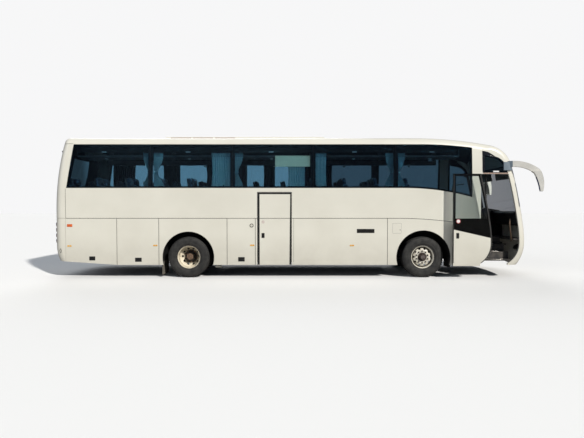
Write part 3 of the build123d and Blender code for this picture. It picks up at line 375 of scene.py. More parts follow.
def painted_white(name, tint=1.0):
    """Aged warm white coach paint, with soft road dirt low down and faint orange peel."""
    low, high = ([part * tint for part in tone] for tone in ((0.665, 0.648, 0.575), (0.71, 0.695, 0.622)))
    made = Finish(name, (0.7, 0.69, 0.62), 0.32, Coat_Weight=0.35, Coat_Roughness=0.12)
    made.mottle(low, high, 1.3, detail=5, spread=(0.3, 0.7))
    low_down = made.parts(made.place)[2].ramp(SKIRT_Z - 0.05, 1.1, 0.55, 0.0)
    dirt = made.texture(NOISE, Scale=2.2, Detail=8, Roughness=0.65)
    made.colour_where(low_down * dirt, (0.3, 0.27, 0.22))
    return made.relief(NOISE, 0.04, 0.002, Scale=60, Detail=2)


JOINT_DEPTH = 0.0035
FRIT = (0.008, 0.009, 0.012)


def below_skin(y, z):
    """A mask of what lies inside the outer skin of a side wall, which leans in above its bend."""
    over = (z + -WALL_BEND_Z).math("MAXIMUM", 0.0)
    return abs(y) + (over * over).math("DIVIDE", 2 * WALL_LEAN_R) < HALF_W - JOINT_DEPTH


paint = painted_white("body_paint")

# Side walls: black frames behind the flush glass, dark joints in the grooves
side_paint = painted_white("side_paint")
x, y, z = side_paint.parts(side_paint.place)
pillar = (x > 4.474) & (x < 4.736) & (z > 2.0)
rear_corner = (x < z * 0.162 + (-5.866 - 2.292 * 0.162)) & (z > 2.28)
brow = (x > 5.0) & (z > x * -0.78 + 7.1)
side_paint.colour_where(below_skin(y, z) & ~pillar & ~rear_corner & ~brow, FRIT, gloss=0.25)

# Flaps and the middle door: dark edges and inner faces
flap_paint = painted_white("flap_paint")
x, y, z = flap_paint.parts(flap_paint.place)
flap_paint.colour_where(below_skin(y, z), (0.05, 0.05, 0.05))

# Roof: dark lining on the ceiling
roof_paint = painted_white("roof_paint")
x, y, z = roof_paint.parts(roof_paint.place)
facing_up = roof_paint.parts(roof_paint.node("ShaderNodeNewGeometry", "True Normal"))[2]
roof_paint.colour_where((facing_up < -0.3) & (x < 5.3), (0.05, 0.052, 0.056), gloss=0.2)

# Ends: black behind the flush windscreen and rear window
end_paint = painted_white("end_paint")
x, y, z = end_paint.parts(end_paint.place)
screen = (abs(y) < 1.1135) & (z > 1.3165) & (z < 2.9035) & (x > 0.0)
rear_pane = (abs(y) < 0.9635) & (z > 2.3165) & (z < 3.1835) & (x < 0.0)
end_paint.colour_where(screen | rear_pane, FRIT, gloss=0.25)

# Front door: everything above the slanting line is black, like the rim and the band below the glass
door_paint = painted_white("door_paint")
x, y, z = door_paint.parts(door_paint.place)
upper = z > x * -0.2294 + (1.27 + 0.2294 * 3.8133)
door_paint.colour_where(upper | (abs(y) < DOOR_SKIN_Y - JOINT_DEPTH), (0.003, 0.003, 0.004), gloss=0.05)

glass_dark = Finish("glass_dark", (0.3, 0.46, 0.55), 0.02, Transmission_Weight=1.0, IOR=1.3)
glass_clear = Finish("glass_clear", (0.78, 0.84, 0.84), 0.015, Transmission_Weight=1.0, IOR=1.3)
lamp_glass = Finish("lamp_glass", (0.95, 0.95, 0.95), 0.03, Transmission_Weight=1.0, IOR=1.3)
for glass in (glass_dark, glass_clear, lamp_glass):
    glass.relief(NOISE, 0.006, 0.001, Scale=3, Detail=1)

black_plastic = Finish("black_plastic", (0.012, 0.012, 0.013), 0.5, Specular_IOR_Level=0.3)
black_plastic.mottle((0.009, 0.009, 0.01), (0.018, 0.018, 0.018), 9)
black_plastic.relief(NOISE, 0.12, 0.0006, Scale=420, Detail=3)
frit_black = Finish("frit_black", (0.012, 0.013, 0.016), 0.12).uneven(0.08, 0.2, 4)
seal_rubber = Finish("seal_rubber", (0.02, 0.02, 0.02), 0.62)
seal_rubber.mottle((0.014, 0.014, 0.014), (0.035, 0.034, 0.032), 14)
chassis_black = Finish("chassis_black", (0.03, 0.03, 0.03), 0.6)
chassis_black.mottle((0.02, 0.02, 0.02), (0.07, 0.062, 0.052), 5)
chassis_black.relief(NOISE, 0.25, 0.002, Scale=45, Detail=6)
hub_dark = Finish("hub_dark", (0.09, 0.075, 0.07), 0.65)
hub_dark.mottle((0.05, 0.038, 0.034), (0.14, 0.115, 0.11), 18, detail=9)
hub_dark.relief(NOISE, 0.4, 0.0015, Scale=90, Detail=8)
rust_cast = Finish("rust_cast", (0.12, 0.07, 0.045), 0.75)
rust_cast.mottle((0.075, 0.048, 0.034), (0.21, 0.13, 0.08), 26, detail=9)
rust_cast.relief(NOISE, 0.4, 0.0015, Scale=90, Detail=8)
mud_grey = Finish("mud_grey", (0.12, 0.11, 0.09), 0.8)
mud_grey.mottle((0.05, 0.048, 0.042), (0.2, 0.185, 0.155), 6, detail=8)
mud_grey.relief(NOISE, 0.3, 0.002, Scale=40, Detail=5)
rim_cream = Finish("rim_cream", (0.6, 0.54, 0.42), 0.45)
rim_cream.mottle((0.36, 0.3, 0.21), (0.66, 0.6, 0.475), 11, detail=9, spread=(0.3, 0.55))
rim_pale = Finish("rim_pale", (0.62, 0.6, 0.54), 0.42)
rim_pale.mottle((0.4, 0.36, 0.29), (0.66, 0.63, 0.55), 12, detail=9, spread=(0.3, 0.5))
for rim in (rim_cream, rim_pale):
    rim.relief(NOISE, 0.15, 0.001, Scale=70, Detail=6)


def from_axle(finish, axle_x):
    """Distance from an axle's line."""
    x, y, z = finish.parts(finish.place)
    along, up = x + -axle_x, z + -TYRE_R
    return (along * along + up * up).math("SQRT")


# Darker round the hubs; in the channel between the front disc and the lip, painted shade with some grime
rim_cream.colour_where(from_axle(rim_cream, REAR_AXLE_X).ramp(0.2, 0.155), (0.035, 0.029, 0.023))
far = from_axle(rim_pale, FRONT_AXLE_X)
# Painted shade and grime: a dark ring in the front rim's channel
rim_pale.colour_where(far.ramp(0.222, 0.234) & far.ramp(0.271, 0.264), (0.07, 0.062, 0.05))
rim_pale.colour_where(far.ramp(0.128, 0.104), (0.04, 0.026, 0.02))

tyre_rubber = Finish("tyre_rubber", (0.03, 0.03, 0.03), 0.78)
tyre_rubber.mottle((0.014, 0.014, 0.014), (0.034, 0.033, 0.031), 8, detail=8)
tyre_rubber.relief(NOISE, 0.2, 0.001, Scale=160, Detail=5)
grey_plastic = Finish("grey_plastic", (0.12, 0.12, 0.125), 0.55)
grey_plastic.mottle((0.1, 0.1, 0.105), (0.15, 0.15, 0.152), 7).relief(CELLS, 0.15, 0.0005, Scale=500)
light_plastic = Finish("light_plastic", (0.15, 0.15, 0.155), 0.5)
light_plastic.mottle((0.13, 0.13, 0.135), (0.18, 0.18, 0.185), 6).relief(CELLS, 0.12, 0.0005, Scale=420)
floor_cover = Finish("floor_cover", (0.13, 0.13, 0.135), 0.6)
floor_cover.mottle((0.03, 0.03, 0.031), (0.09, 0.08, 0.07), 7, detail=8)
floor_cover.relief(CELLS, 0.35, 0.001, Scale=120)
pod_paint = painted_white("pod_paint", 0.96)
brown_fins = Finish("brown_fins", (0.3, 0.15, 0.1), 0.7)
brown_fins.mottle((0.24, 0.11, 0.075), (0.36, 0.2, 0.14), 20)
brown_fins.relief("ShaderNodeTexWave", 0.5, 0.002, Scale=60)
# The green board glows a little though it is no lamp: painted light, in place of the sunlight that reaches it
# through the glass
board_green = Finish("board_green", (0.8, 0.86, 0.66), 0.5, Emission_Color=(0.6, 0.62, 0.42, 1),
                     Emission_Strength=0.3).mottle((0.76, 0.82, 0.62), (0.85, 0.9, 0.7), 8)
sticker_faint = Finish("sticker_faint", (0.6, 0.5, 0.47), 0.5)
sticker_faint.mottle((0.52, 0.42, 0.4), (0.64, 0.6, 0.55), 60)

# Mirrors: cream shells, with painted shade in blue-grey at the roots of the arms
mirror_shell = Finish("mirror_shell", (0.62, 0.6, 0.53), 0.35, Coat_Weight=0.3)
mirror_shell.mottle((0.57, 0.55, 0.48), (0.66, 0.64, 0.57), 6)
mirror_paint_and_shade = Finish("mirror_paint_and_shade", (0.76, 0.74, 0.69), 0.35, Coat_Weight=0.3)
mirror_paint_and_shade.mottle((0.7, 0.68, 0.63), (0.79, 0.77, 0.72), 6)
# Painted shade: blue-grey at the roots of the arms
x, y, z = mirror_paint_and_shade.parts(mirror_paint_and_shade.place)
mirror_paint_and_shade.colour_where((x < 5.478) & (abs(y) < 1.325), (0.15, 0.19, 0.23))

lamp_red = Finish("lamp_red", (0.45, 0.012, 0.01), 0.15, Coat_Weight=0.6)
lamp_orange = Finish("lamp_orange", (0.6, 0.12, 0.03), 0.15, Coat_Weight=0.6)
lamp_amber = Finish("lamp_amber", (0.72, 0.38, 0.05), 0.15, Coat_Weight=0.6)
lamp_white = Finish("lamp_white", (0.8, 0.8, 0.8), 0.12, Coat_Weight=0.6)
for lens in (lamp_red, lamp_orange, lamp_amber, lamp_white):
    lens.relief(CELLS, 0.3, 0.001, Scale=130)
chrome = Finish("chrome", (0.72, 0.72, 0.72), 0.08, 1.0).uneven(0.05, 0.16, 6)
steel = Finish("steel", (0.45, 0.44, 0.42), 0.35, 1.0)
steel.mottle((0.3, 0.27, 0.23), (0.5, 0.49, 0.47), 30, detail=8)
brass_rail = Finish("brass_rail", (0.26, 0.18, 0.12), 0.35, 0.7).uneven(0.2, 0.42, 12)


def cloth(name, dark, light):
    """Woven cloth with sheen."""
    made = Finish(name, light, 0.9, Sheen_Weight=0.35, Sheen_Roughness=0.5)
    return made.mottle(dark, light, 22, detail=9).relief(CELLS, 0.3, 0.0006, Scale=900)


seat_cloth = cloth("seat_cloth", (0.035, 0.06, 0.1), (0.07, 0.11, 0.17))
# Painted light: the curtain cloth is made paler, in place of the sunlight that the glass holds back from it
curtain_cloth = cloth("curtain_cloth", (0.5, 0.7, 0.76), (0.66, 0.84, 0.9))
dark_curtain_cloth = cloth("dark_curtain_cloth", (0.03, 0.045, 0.06), (0.05, 0.07, 0.09))

FINISHES = {
    "body_paint": paint, "glass_dark": glass_dark, "glass_clear": glass_clear,
    "black_plastic": black_plastic, "grey_plastic": grey_plastic, "chassis_paint": chassis_black,
    "rubber": seal_rubber, "tyre": tyre_rubber, "rim_paint": rim_cream, "cast": rust_cast,
    "seat_fabric": seat_cloth, "curtain_fabric": curtain_cloth, "rack_plastic": light_plastic,
    "board_green": board_green, "lamp_clear": lamp_glass, "lamp_red": lamp_red,
    "floor_cover": floor_cover, "tank_plastic": black_plastic, "mirror_plastic": mirror_shell,
}
OWN_FINISH = {
    "engine_block": hub_dark, "front_axle": hub_dark, "rear_axle": hub_dark, "knuckle_right": hub_dark,
    "knuckle_left": hub_dark, "dashboard": black_plastic, "roof_pod": pod_paint, "roof": roof_paint,
    "mud_flaps": mud_grey, "rim_front_right": rim_pale, "rim_front_left": rim_pale,
    "side_wall_right": side_paint, "side_wall_left": side_paint, "mid_door": flap_paint,
    "front_mask": end_paint, "rear_wall": end_paint, "front_door": door_paint, "mirrors": mirror_paint_and_shade,
}
SLOT_OF = {row["node"]: row["material_slot"] for row in frame["record"]["subparts"]}
for name, cad_node in nodes.items():
    finish = OWN_FINISH.get(name, FINISHES[SLOT_OF[name]])
    for place in cad_node.material_slots:
        place.material = (flap_paint if name.startswith("flap_") else finish).material


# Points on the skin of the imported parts
def surface_tree(*names):
    """A search tree over the faces of CAD pieces."""
    points = []
    polygons = []
    for name in names:
        base = len(points)
        mesh = nodes[name].data
        points += [v.co.copy() for v in mesh.vertices]
        polygons += [[base + i for i in face.vertices] for face in mesh.polygons]
    return BVHTree.FromPolygons(points, polygons)


nose_tree = surface_tree("front_mask", "windscreen", "headlamps", "roof")
tail_tree = surface_tree("rear_wall", "rear_glass", "tail_lamps", "engine_lid", "roof")


def skin_point(tree, start, direction, lift=0.0):
    """Where a ray meets the skin, lifted along its normal, and that normal; two None where it misses."""
    direction = Vector(direction)
    at, normal, _, _ = tree.ray_cast(Vector(start), direction)
    if at is None:
        return None, None
    if normal.dot(direction) > 0:
        normal = -normal
    return at + normal * lift, normal


def nose_point(y, z, lift=0.0):
    return skin_point(nose_tree, (8, y, z), (-1, 0, 0), lift)


def tail_point(y, z, lift=0.0):
    return skin_point(tail_tree, (-8, y, z), (1, 0, 0), lift)


def skin_place(point, normal):
    """A matrix on the skin: local Z along the normal, local Y as near up as it goes."""
    normal = normal.normalized()
    across = Vector((0, 0, 1)).cross(normal).normalized()
    turn = Matrix((across, normal.cross(across), normal)).transposed().to_4x4()
    return Matrix.Translation(point) @ turn


def nose_place(y, z, lift=0.0):
    return skin_place(*nose_point(y, z, lift))


def tail_place(y, z):
    return skin_place(*tail_point(y, z))


# Wheels: tyres with tread and sidewall ribs, by a section of (radius, half width) from the bead outwards
TYRE_HALF_W = 0.1475
GROOVE_R = TYRE_R - 0.013
TREAD_BLOCKS = 60
BLOCK_SIZE = (0.02, 0.031, 0.036)
SIDEWALL = [
    (0.286, 0.105), (0.291, 0.118), (0.3, 0.124), (0.312, 0.122), (0.33, 0.133), (0.332, 0.1305),
    (0.336, 0.132), (0.338, 0.136), (0.352, 0.1405), (0.36, 0.1442), (0.366, 0.1442), (0.372, 0.1435),
    (0.394, 0.1465), (0.396, 0.1438), (0.401, 0.144), (0.403, 0.1472), (0.408, 0.1475), (0.44, 0.1465),
    (0.45, 0.1446), (0.452, 0.1418), (0.457, 0.1405), (0.459, 0.143), (0.466, 0.1425), (0.47, 0.1405),
    (0.488, 0.134), (0.503, 0.124), (0.5135, 0.112),
]
TREAD = [(TYRE_R - 0.004, 0.104), (TYRE_R - 0.0016, 0.062), (GROOVE_R, 0.060), (GROOVE_R, 0.052),
         (TYRE_R - 0.001, 0.050), (TYRE_R - 0.0004, 0.0225), (GROOVE_R, 0.0205), (GROOVE_R, 0.0125),
         (TYRE_R, 0.0105)]


def tyre(name, body, side, x, y):
    """A tyre whose side points outwards; grooves run round and blocks are cut across the shoulders."""
    form = Form()
    place = axis_place((x, y, TYRE_R), (0, side, 0))
    half = SIDEWALL + TREAD
    form.turned(half + [(r, -w) for r, w in reversed(half)], place, 120, loop=True)
    for i in range(TREAD_BLOCKS):
        for sign in (-1, 1):
            turn = Matrix.Rotation(2 * math.pi * (i + 0.5 * (sign > 0)) / TREAD_BLOCKS, 4, "Z")
            tilt = Matrix.Rotation(math.radians(24) * sign, 4, "Y")
            form.block(BLOCK_SIZE, moved(place @ turn, TYRE_R - 0.0167, 0, sign * 0.119) @ tilt)
    return form.piece(name, "tyre", smooth=35, body=body)


for label, side in SIDES.items():
    low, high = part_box(f"tyre_front_{label}")
    made = tyre(f"front_tyre_{label}", f"wheel_front_{label}", side, FRONT_AXLE_X, (low.y + high.y) / 2)
    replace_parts(made, f"tyre_front_{label}")
    low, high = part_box(f"tyres_rear_{label}")
    inner_y, outer_y = sorted((low.y, high.y), key=abs)
    for which, y in (("outer", outer_y - side * TYRE_HALF_W), ("inner", inner_y + side * TYRE_HALF_W)):
        made = tyre(f"rear_tyre_{which}_{label}", f"wheels_rear_{label}", side, REAR_AXLE_X, y)
        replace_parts(made, f"tyres_rear_{label}")

# Wheel nuts, grease caps and valves
NUT_ACROSS = 0.031
NUT_HEIGHT = 0.026
NUT_CIRCLE = 0.15
VALVE_CIRCLE = 0.235
VALVE_ANGLE = 1.15
AXLES = {
    "front": {"x": FRONT_AXLE_X, "nut_y": 1.167, "hub_y": 1.195, "cap_y": 1.235, "cap_r": 0.062,
              "bolt_r": 0.074, "body": "wheel_front", "finish": hub_dark},
    "rear": {"x": REAR_AXLE_X, "nut_y": 0.942, "hub_y": 1.025, "cap_y": 1.095, "cap_r": 0.084,
             "bolt_r": 0.095, "body": "wheels_rear", "finish": rust_cast},
}


def on_wheel(axle, side, y, radius=0.0, angle=0.0):
    """A point of a wheel, by its distance from the middle plane and its place round the axle."""
    return Vector((axle["x"] + radius * math.cos(angle), side * y, TYRE_R + radius * math.sin(angle)))


for label, side in SIDES.items():
    for axle_name, axle in AXLES.items():
        body = f"{axle['body']}_{label}"
        out = (0, side, 0)
        form = Form()
        for angle in circle(10, 0.5):
            place = axis_place(on_wheel(axle, side, axle["nut_y"] - 0.002, NUT_CIRCLE, angle), out)
            form.turned([(NUT_ACROSS * 0.72, 0), (NUT_ACROSS * 0.72, 0.004)], place, 16)
            form.turned([(NUT_ACROSS * 0.56, 0.003), (NUT_ACROSS * 0.57, NUT_HEIGHT - 0.003),
                         (NUT_ACROSS * 0.48, NUT_HEIGHT)], place, 6)
            form.turned([(NUT_ACROSS * 0.3, NUT_HEIGHT - 0.002), (NUT_ACROSS * 0.3, NUT_HEIGHT + 0.01),
                         (NUT_ACROSS * 0.24, NUT_HEIGHT + 0.012)], place, 10)
        form.piece(f"wheel_nuts_{axle_name}_{label}", "cast", axle["finish"], body=body)
        form = Form()
        profile = [(0.98, 0), (0.99, 0.012), (0.9, 0.018), (0.86, 0.0185), (0.8, 0.0165), (0.4, 0.0175),
                   (0.36, 0.0225), (0.3, 0.0235)]
        place = axis_place(on_wheel(axle, side, axle["cap_y"] - 0.014), out)
        form.turned([(axle["cap_r"] * share, height) for share, height in profile], place, 40)
        for i in range(8):
            angle = 2 * math.pi * i / 8 + 0.2
            bolt = on_wheel(axle, side, axle["hub_y"] - 0.002, axle["bolt_r"], angle)
            form.turned([(0.0085, 0), (0.0085, 0.009), (0.007, 0.0105)], axis_place(bolt, out), 6)
        form.piece(f"grease_cap_{axle_name}_{label}", "cast", axle["finish"], body=body)
        foot = on_wheel(axle, side, axle["nut_y"] + 0.005, VALVE_CIRCLE, VALVE_ANGLE)
        tip = foot + Vector((0.005, side * 0.055, -0.012))
        form = Form().tube([foot, foot.lerp(tip, 0.6), tip], [0.006, 0.0045, 0.0045], 10)
        form.tube([tip, tip + (tip - foot).normalized() * 0.012], 0.006, 8)
        form.piece(f"tyre_valve_{axle_name}_{label}", "cast", steel, body=body)

# Latches, markers and air inlets of the flaps, as places (x, z) on the wall and sizes
FLAP_TRIM = {
    "engine": {"latch": (-5.2135, 0.4965, 0.153, 0.103), "marker": (-5.79, 0.815)},
    "rear": {"latch": (-4.036, 0.462, 0.168, 0.104), "marker": (-3.6, 0.828)},
    "tank": {"latch": (-1.405, 0.474, 0.168, 0.112), "marker": (-1.13, 0.833)},
    "hold": {"marker": (1.414, 0.828), "slot": (1.7635, 1.197, 0.447, 0.102)},
}


def louvre(form, place, half_w, half_h, v, lift):
    """A slat that leans outwards, at a height in a frame."""
    slat = moved(place, 0, v, lift) @ Matrix.Rotation(math.radians(28), 4, "X")
    form.plate(slat, half_w, half_h, 0.0012, r=0.001, edge=0.0004)


def flap_latch(place, half_w, half_h):
    """A recess frame with its lever plate, screws and finger hollow."""
    form = Form().rim(place, half_w, half_h, 0.012, 0.0045, r=0.009)
    form.plate(place, half_w - 0.011, half_h - 0.011, 0.0018, r=0.006)
    form.plate(place, half_w * 0.66, half_h * 0.46, 0.0042, r=0.005, at=(0, half_h * 0.14))
    form.plate(place, half_w * 0.56, half_h * 0.14, 0.003, r=0.003, at=(0, -half_h * 0.58))
    for u in (-half_w + 0.006, half_w - 0.006):
        form.turned([(0.0038, 0), (0.0038, 0.0008), (0.003, 0.0014)], moved(place, u, 0, 0.004), 10)
    return form


def air_inlet(place, half_w, half_h):
    """A frame with five slats."""
    form = Form().rim(place, half_w, half_h, 0.012, 0.0055, r=0.006)
    form.plate(place, half_w - 0.01, half_h - 0.01, 0.0012, r=0.004)
    for i in range(5):
        louvre(form, place, half_w - 0.014, 0.006, -half_h + 0.02 + i * (2 * half_h - 0.04) / 4, 0.0022)
    return form


for name, trim in FLAP_TRIM.items():
    for label, side in SIDES.items():
        body = f"flap_{label}_{name}"
        if body not in nodes:
            continue
        if "latch" in trim:
            x, z, wide, high = trim["latch"]
            form = flap_latch(on_wall(side, x, z), wide / 2, high / 2)
            form.piece(f"latch_{label}_{name}", "black_plastic", body=body)
        place = on_wall(side, *trim["marker"])
        form = Form().rim(place, 0.064, 0.028, 0.011, 0.006, r=0.027)
        form.plate(place, 0.056, 0.02, 0.002, r=0.019)
        form.piece(f"marker_bezel_{label}_{name}", "body_paint", mirror_shell, body=body)
        form = Form().plate(place, 0.026, 0.02, 0.0075, r=0.017, edge=0.003, at=(-0.03, 0))
        form.plate(place, 0.028, 0.02, 0.0085, r=0.017, edge=0.0035, at=(0.028, 0))
        form.piece(f"marker_lens_{label}_{name}", "lamp_red", lamp_amber, smooth=40, body=body)
        if "slot" in trim:
            x, z, wide, high = trim["slot"]
            form = air_inlet(on_wall(side, x, z), wide / 2, high / 2)
            form.piece(f"air_inlet_{label}_{name}", "black_plastic", body=body)
form = Form().plate(on_wall(-1, -5.781, 1.337), 0.0675, 0.034, 0.008, r=0.008, edge=0.003)
form.piece("side_reflector_right", "lamp_red", lamp_orange, body="flap_right_engine")
place = on_wall(-1, -1.145, 1.337)
form = Form().turned([(0.049, 0), (0.049, 0.004), (0.047, 0.006), (0.037, 0.006), (0.035, 0.003),
                      (0.002, 0.003)], place, 40)
form.piece("filler_ring_right", "black_plastic", body="flap_right_tank")
form = Form().turned([(0.033, 0.002), (0.033, 0.005), (0.031, 0.0062), (0.014, 0.0062), (0.012, 0.0045),
                      (0.002, 0.0045)], place, 40)
form.piece("filler_lock_right", "cast", mirror_shell, body="flap_right_tank")

# Small access panel ahead of the hold, with its outline and lock
for label, side in SIDES.items():
    place = on_wall(side, 2.562, 1.265)
    form = Form().plate(place, 0.108, 0.125, 0.002, r=0.012, edge=0.001)
    form.piece(f"access_panel_{label}", "body_paint")
    form = Form().rim(place, 0.112, 0.129, 0.004, 0.0011, r=0.014, edge=0.0004)
    lock = moved(place, 0.08, -0.04)
    form.turned([(0.011, 0.002), (0.011, 0.004), (0.007, 0.0048), (0.003, 0.0035)], lock, 16)
    form.piece(f"access_panel_seal_{label}", "rubber", grey_plastic)

# Middle door: rubber frame between two outlines of (x, z) points
INNER = [(-0.938, 0.34), (-0.94, 1.9), (-0.94, 2.134), (-0.16, 2.134), (-0.162, 1.9), (-0.18, 0.34)]
OUTER = [(-0.988, 0.34), (-0.988, 1.9), (-0.988, 2.178), (-0.132, 2.178), (-0.132, 1.9), (-0.132, 0.34)]
place = on_wall(-1, 0, 0, HALF_W - 0.0008)
section = ((0, 0), (0.02, 0.003), (0.2, 0.005), (0.8, 0.005), (0.98, 0.003), (1, 0))
form = Form().rings([[place @ Vector((a[0] + (b[0] - a[0]) * share, a[1] + (b[1] - a[1]) * share, height))
                      for share, height in section] for a, b in zip(INNER, OUTER)])
form.piece("middle_door_seal", "rubber", black_plastic, smooth=40, body="mid_door")

# Middle door: handle and blank sticker
place = on_wall(-1, -0.852, 1.083)
form = Form().rim(place, 0.038, 0.063, 0.008, 0.005).plate(place, 0.032, 0.057, 0.0012, r=0.006)
form.plate(place, 0.024, 0.029, 0.006, r=0.006, edge=0.002, at=(0, 0.017))
form.turned([(0.009, 0.001), (0.009, 0.004), (0.006, 0.005)], moved(place, 0, -0.036), 16)
form.piece("middle_door_handle", "black_plastic", body="mid_door")
form = Form().turned([(0.04, 0), (0.04, 0.0006), (0.0395, 0.001), (0.001, 0.001)],
                     on_wall(-1, -0.852, 1.426, HALF_W - 0.0004), 40)
form.piece("middle_door_sticker", "body_paint", sticker_faint, body="mid_door")

# Roof pod: brown fins in its slots, covers over its bolts and a seal round its foot
for label, side in SIDES.items():
    form = Form()
    for slot_x in (-3.07, -2.49, -1.9):
        place = on_wall(side, slot_x, 3.633, 0.6995)
        form.rim(place, 0.272, 0.026, 0.007, 0.004, r=0.006)
        form.plate(place, 0.268, 0.023, 0.001, r=0.003, edge=0.0004)
        for v in (-0.0135, -0.0045, 0.0045, 0.0135):
            louvre(form, place, 0.266, 0.0035, v, 0.002)
    form.piece(f"pod_fins_{label}", "black_plastic", brown_fins)
form = Form()
for x in (-0.81, -0.37, 0.07, 0.51):
    for y in (-0.55, 0.55):
        form.turned([(0.024, -0.002), (0.024, 0.001), (0.018, 0.002), (0.0165, 0.0075), (0.012, 0.009)],
                    Matrix.Translation((x, y, 3.685)), 16)
form.piece("pod_bolts", "body_paint", mirror_shell)
form = Form()
for y in (-0.7045, 0.7045):
    form.tube([(x, y, 3.5915) for x in (-3.6, -2, -0.5, 0.82)], 0.006, 6)
for x in (-3.613, 0.843):
    form.tube([(x, y, 3.5915) for y in (-0.7, 0, 0.7)], 0.006, 6)
form.piece("pod_seal", "rubber", smooth=50)

# Curtains: pleated cloth on runners, some tied back
WINDOW_SILL_Z = 2.27
CURTAIN_TOP = 3.338
CURTAIN_Y = 1.112
PLEAT_CLOTH = 0.115
TIE_AT = 0.6
random.seed(7)


def pleat_depth(wide, long, pleats, steps=12):
    """Half the depth of even pleats that take up a cloth length within a width."""
    low, high = 0.0, 0.2
    for _ in range(22):
        depth = (low + high) / 2
        total = 0
        for i in range(steps):
            a, b = 2 * math.pi * i / steps, 2 * math.pi * (i + 1) / steps
            total += math.hypot(wide / pleats / steps, depth * (math.sin(b) - math.sin(a)))
        if total * pleats < long:
            low = depth
        else:
            high = depth
    return low


def curtain(name, side, x0, towards, wide, long, tied, wall_y=CURTAIN_Y, top_z=CURTAIN_TOP):
    """A curtain that hangs from x0 and spreads in one direction; tied ones draw in at a band."""
    pleats = max(4, round(long / PLEAT_CLOTH))
    rows = 30
    columns = pleats * 10
    phases = [random.uniform(-0.35, 0.35) for _ in range(pleats)]
    height = top_z - WINDOW_SILL_Z
    grid = []
    for t in (r / rows for r in range(rows + 1)):
        if tied:
            pull = math.exp(-((t - TIE_AT) / 0.2) ** 2)
            width = wide * (1 - 0.62 * pull) * (1 + 0.25 * max(0, t - TIE_AT))
        else:
            width = wide * (1 - 0.06 * math.sin(math.pi * t))
        depth = min(pleat_depth(width, long, pleats), 0.05)
        row = []
        for u in (c / columns for c in range(columns + 1)):
            phase = phases[min(pleats - 1, int(u * pleats))]
            wave = math.sin(2 * math.pi * u * pleats + phase * math.sin(math.pi * (u * pleats % 1)) * t)
            x = x0 + towards * width * (u + 0.004 * math.sin(9 * t + 5 * u))
            y = side * (wall_y + depth * wave * (0.92 + 0.08 * math.sin(7 * t + 3 * u)))
            row.append((x, y, top_z - height * t - 0.004 * wave * t))
        grid.append(row)
    # The near side's curtains take the pale cloth with its painted light; the far side's take the dark cloth
    finish = curtain_cloth if side < 0 else dark_curtain_cloth
    made = Form().grid(grid).piece(name, "curtain_fabric", finish, smooth=80)
    area = sum(face.area for face in made.data.polygons)
    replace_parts(made, "curtains")
    area / height
    if tied:
        half = wide * 0.38 / 2
        middle = x0 + towards * half
        z = top_z - height * TIE_AT
        ring = [(middle + (half + 0.012) * math.cos(a), side * (wall_y + 0.052 * math.sin(a)),
                 z + 0.012 * math.cos(a)) for a in circle(28)]
        section = ((0, -0.02), (0.004, -0.018), (0.004, 0.018), (0, 0.02), (0, -0.02))
        band = Form().rings([[(px + (px - middle) * spread * 8, py, pz + rise) for px, py, pz in ring]
                             for spread, rise in section], cap=False)
        tie_band = band.piece(name + "_tie", "curtain_fabric", curtain_cloth, smooth=60)
        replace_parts(tie_band, "curtains")


# Each row: X of the hanging edge, direction, width on the rail, cloth width, tied back or not; then the
# distance from the middle plane and the top, where these differ
CURTAIN_PLAN = {
    "right": [
        (-3.745, -1, 0.2, 0.85, True), (-3.67, 1, 0.24, 0.9, True),
        (-1.66, -1, 0.54, 1.0, False), (-1.58, 1, 0.2, 0.85, True),
        (0.22, -1, 0.45, 1.0, False, 1.043, 3.05), (0.48, 1, 0.3, 0.9, False), (2.49, -1, 0.2, 0.85, True),
        (2.58, 1, 0.22, 0.85, True),
    ],
    "left": [
        (-5.62, 1, 0.72, 1.3, False), (-3.745, -1, 0.34, 0.9, False), (-3.67, 1, 0.12, 0.7, False),
        (-1.66, -1, 1.14, 1.8, False), (-1.59, 1, 0.1, 0.7, False), (-0.64, -1, 0.36, 0.9, False),
        (0.39, -1, 0.65, 1.2, False), (0.48, 1, 0.67, 1.2, False), (2.49, -1, 0.17, 0.8, False),
    ],
}
for label, side in SIDES.items():
    for i, row in enumerate(CURTAIN_PLAN[label]):
        curtain(f"curtain_{label}_{i + 1}", side, *row)

REAR_TOP_Z = 3.17
REAR_DROP = 0.84
REAR_LEAN = 0.17  # the tail leans forward with height


def rear_curtain(name, y0, towards, wide, long, pleats=7, rows=20):
    """A curtain across part of the rear window, pleated like those at the sides."""
    columns = pleats * 10
    depth = min(pleat_depth(wide, long, pleats), 0.03)
    grid = []
    for t in (r / rows for r in range(rows + 1)):
        z = REAR_TOP_Z - REAR_DROP * t
        row = []
        for u in (c / columns for c in range(columns + 1)):
            wave = math.sin(2 * math.pi * u * pleats + 0.4 * math.sin(5 * t))
            y = y0 + towards * wide * u * (1 - 0.08 * math.sin(math.pi * t))
            x = -6.13 - 0.02 * (REAR_TOP_Z - z) + REAR_LEAN * (z - REAR_TOP_Z + REAR_DROP) + depth * wave
            row.append((x, y, z))
        grid.append(row)
    made = Form().grid(grid).piece(name, "curtain_fabric", dark_curtain_cloth, smooth=80)


rear_curtain("rear_curtain_right", -0.95, 1, 0.42, 0.75)
rear_curtain("rear_curtain_left", 0.95, -1, 0.62, 0.95)
form = Form().tube([(-5.992, y, 3.178) for y in (-0.97, -0.5, 0, 0.5, 0.97)], 0.012, 10)
form.piece("rear_curtain_rail", "cast", steel, smooth=50)

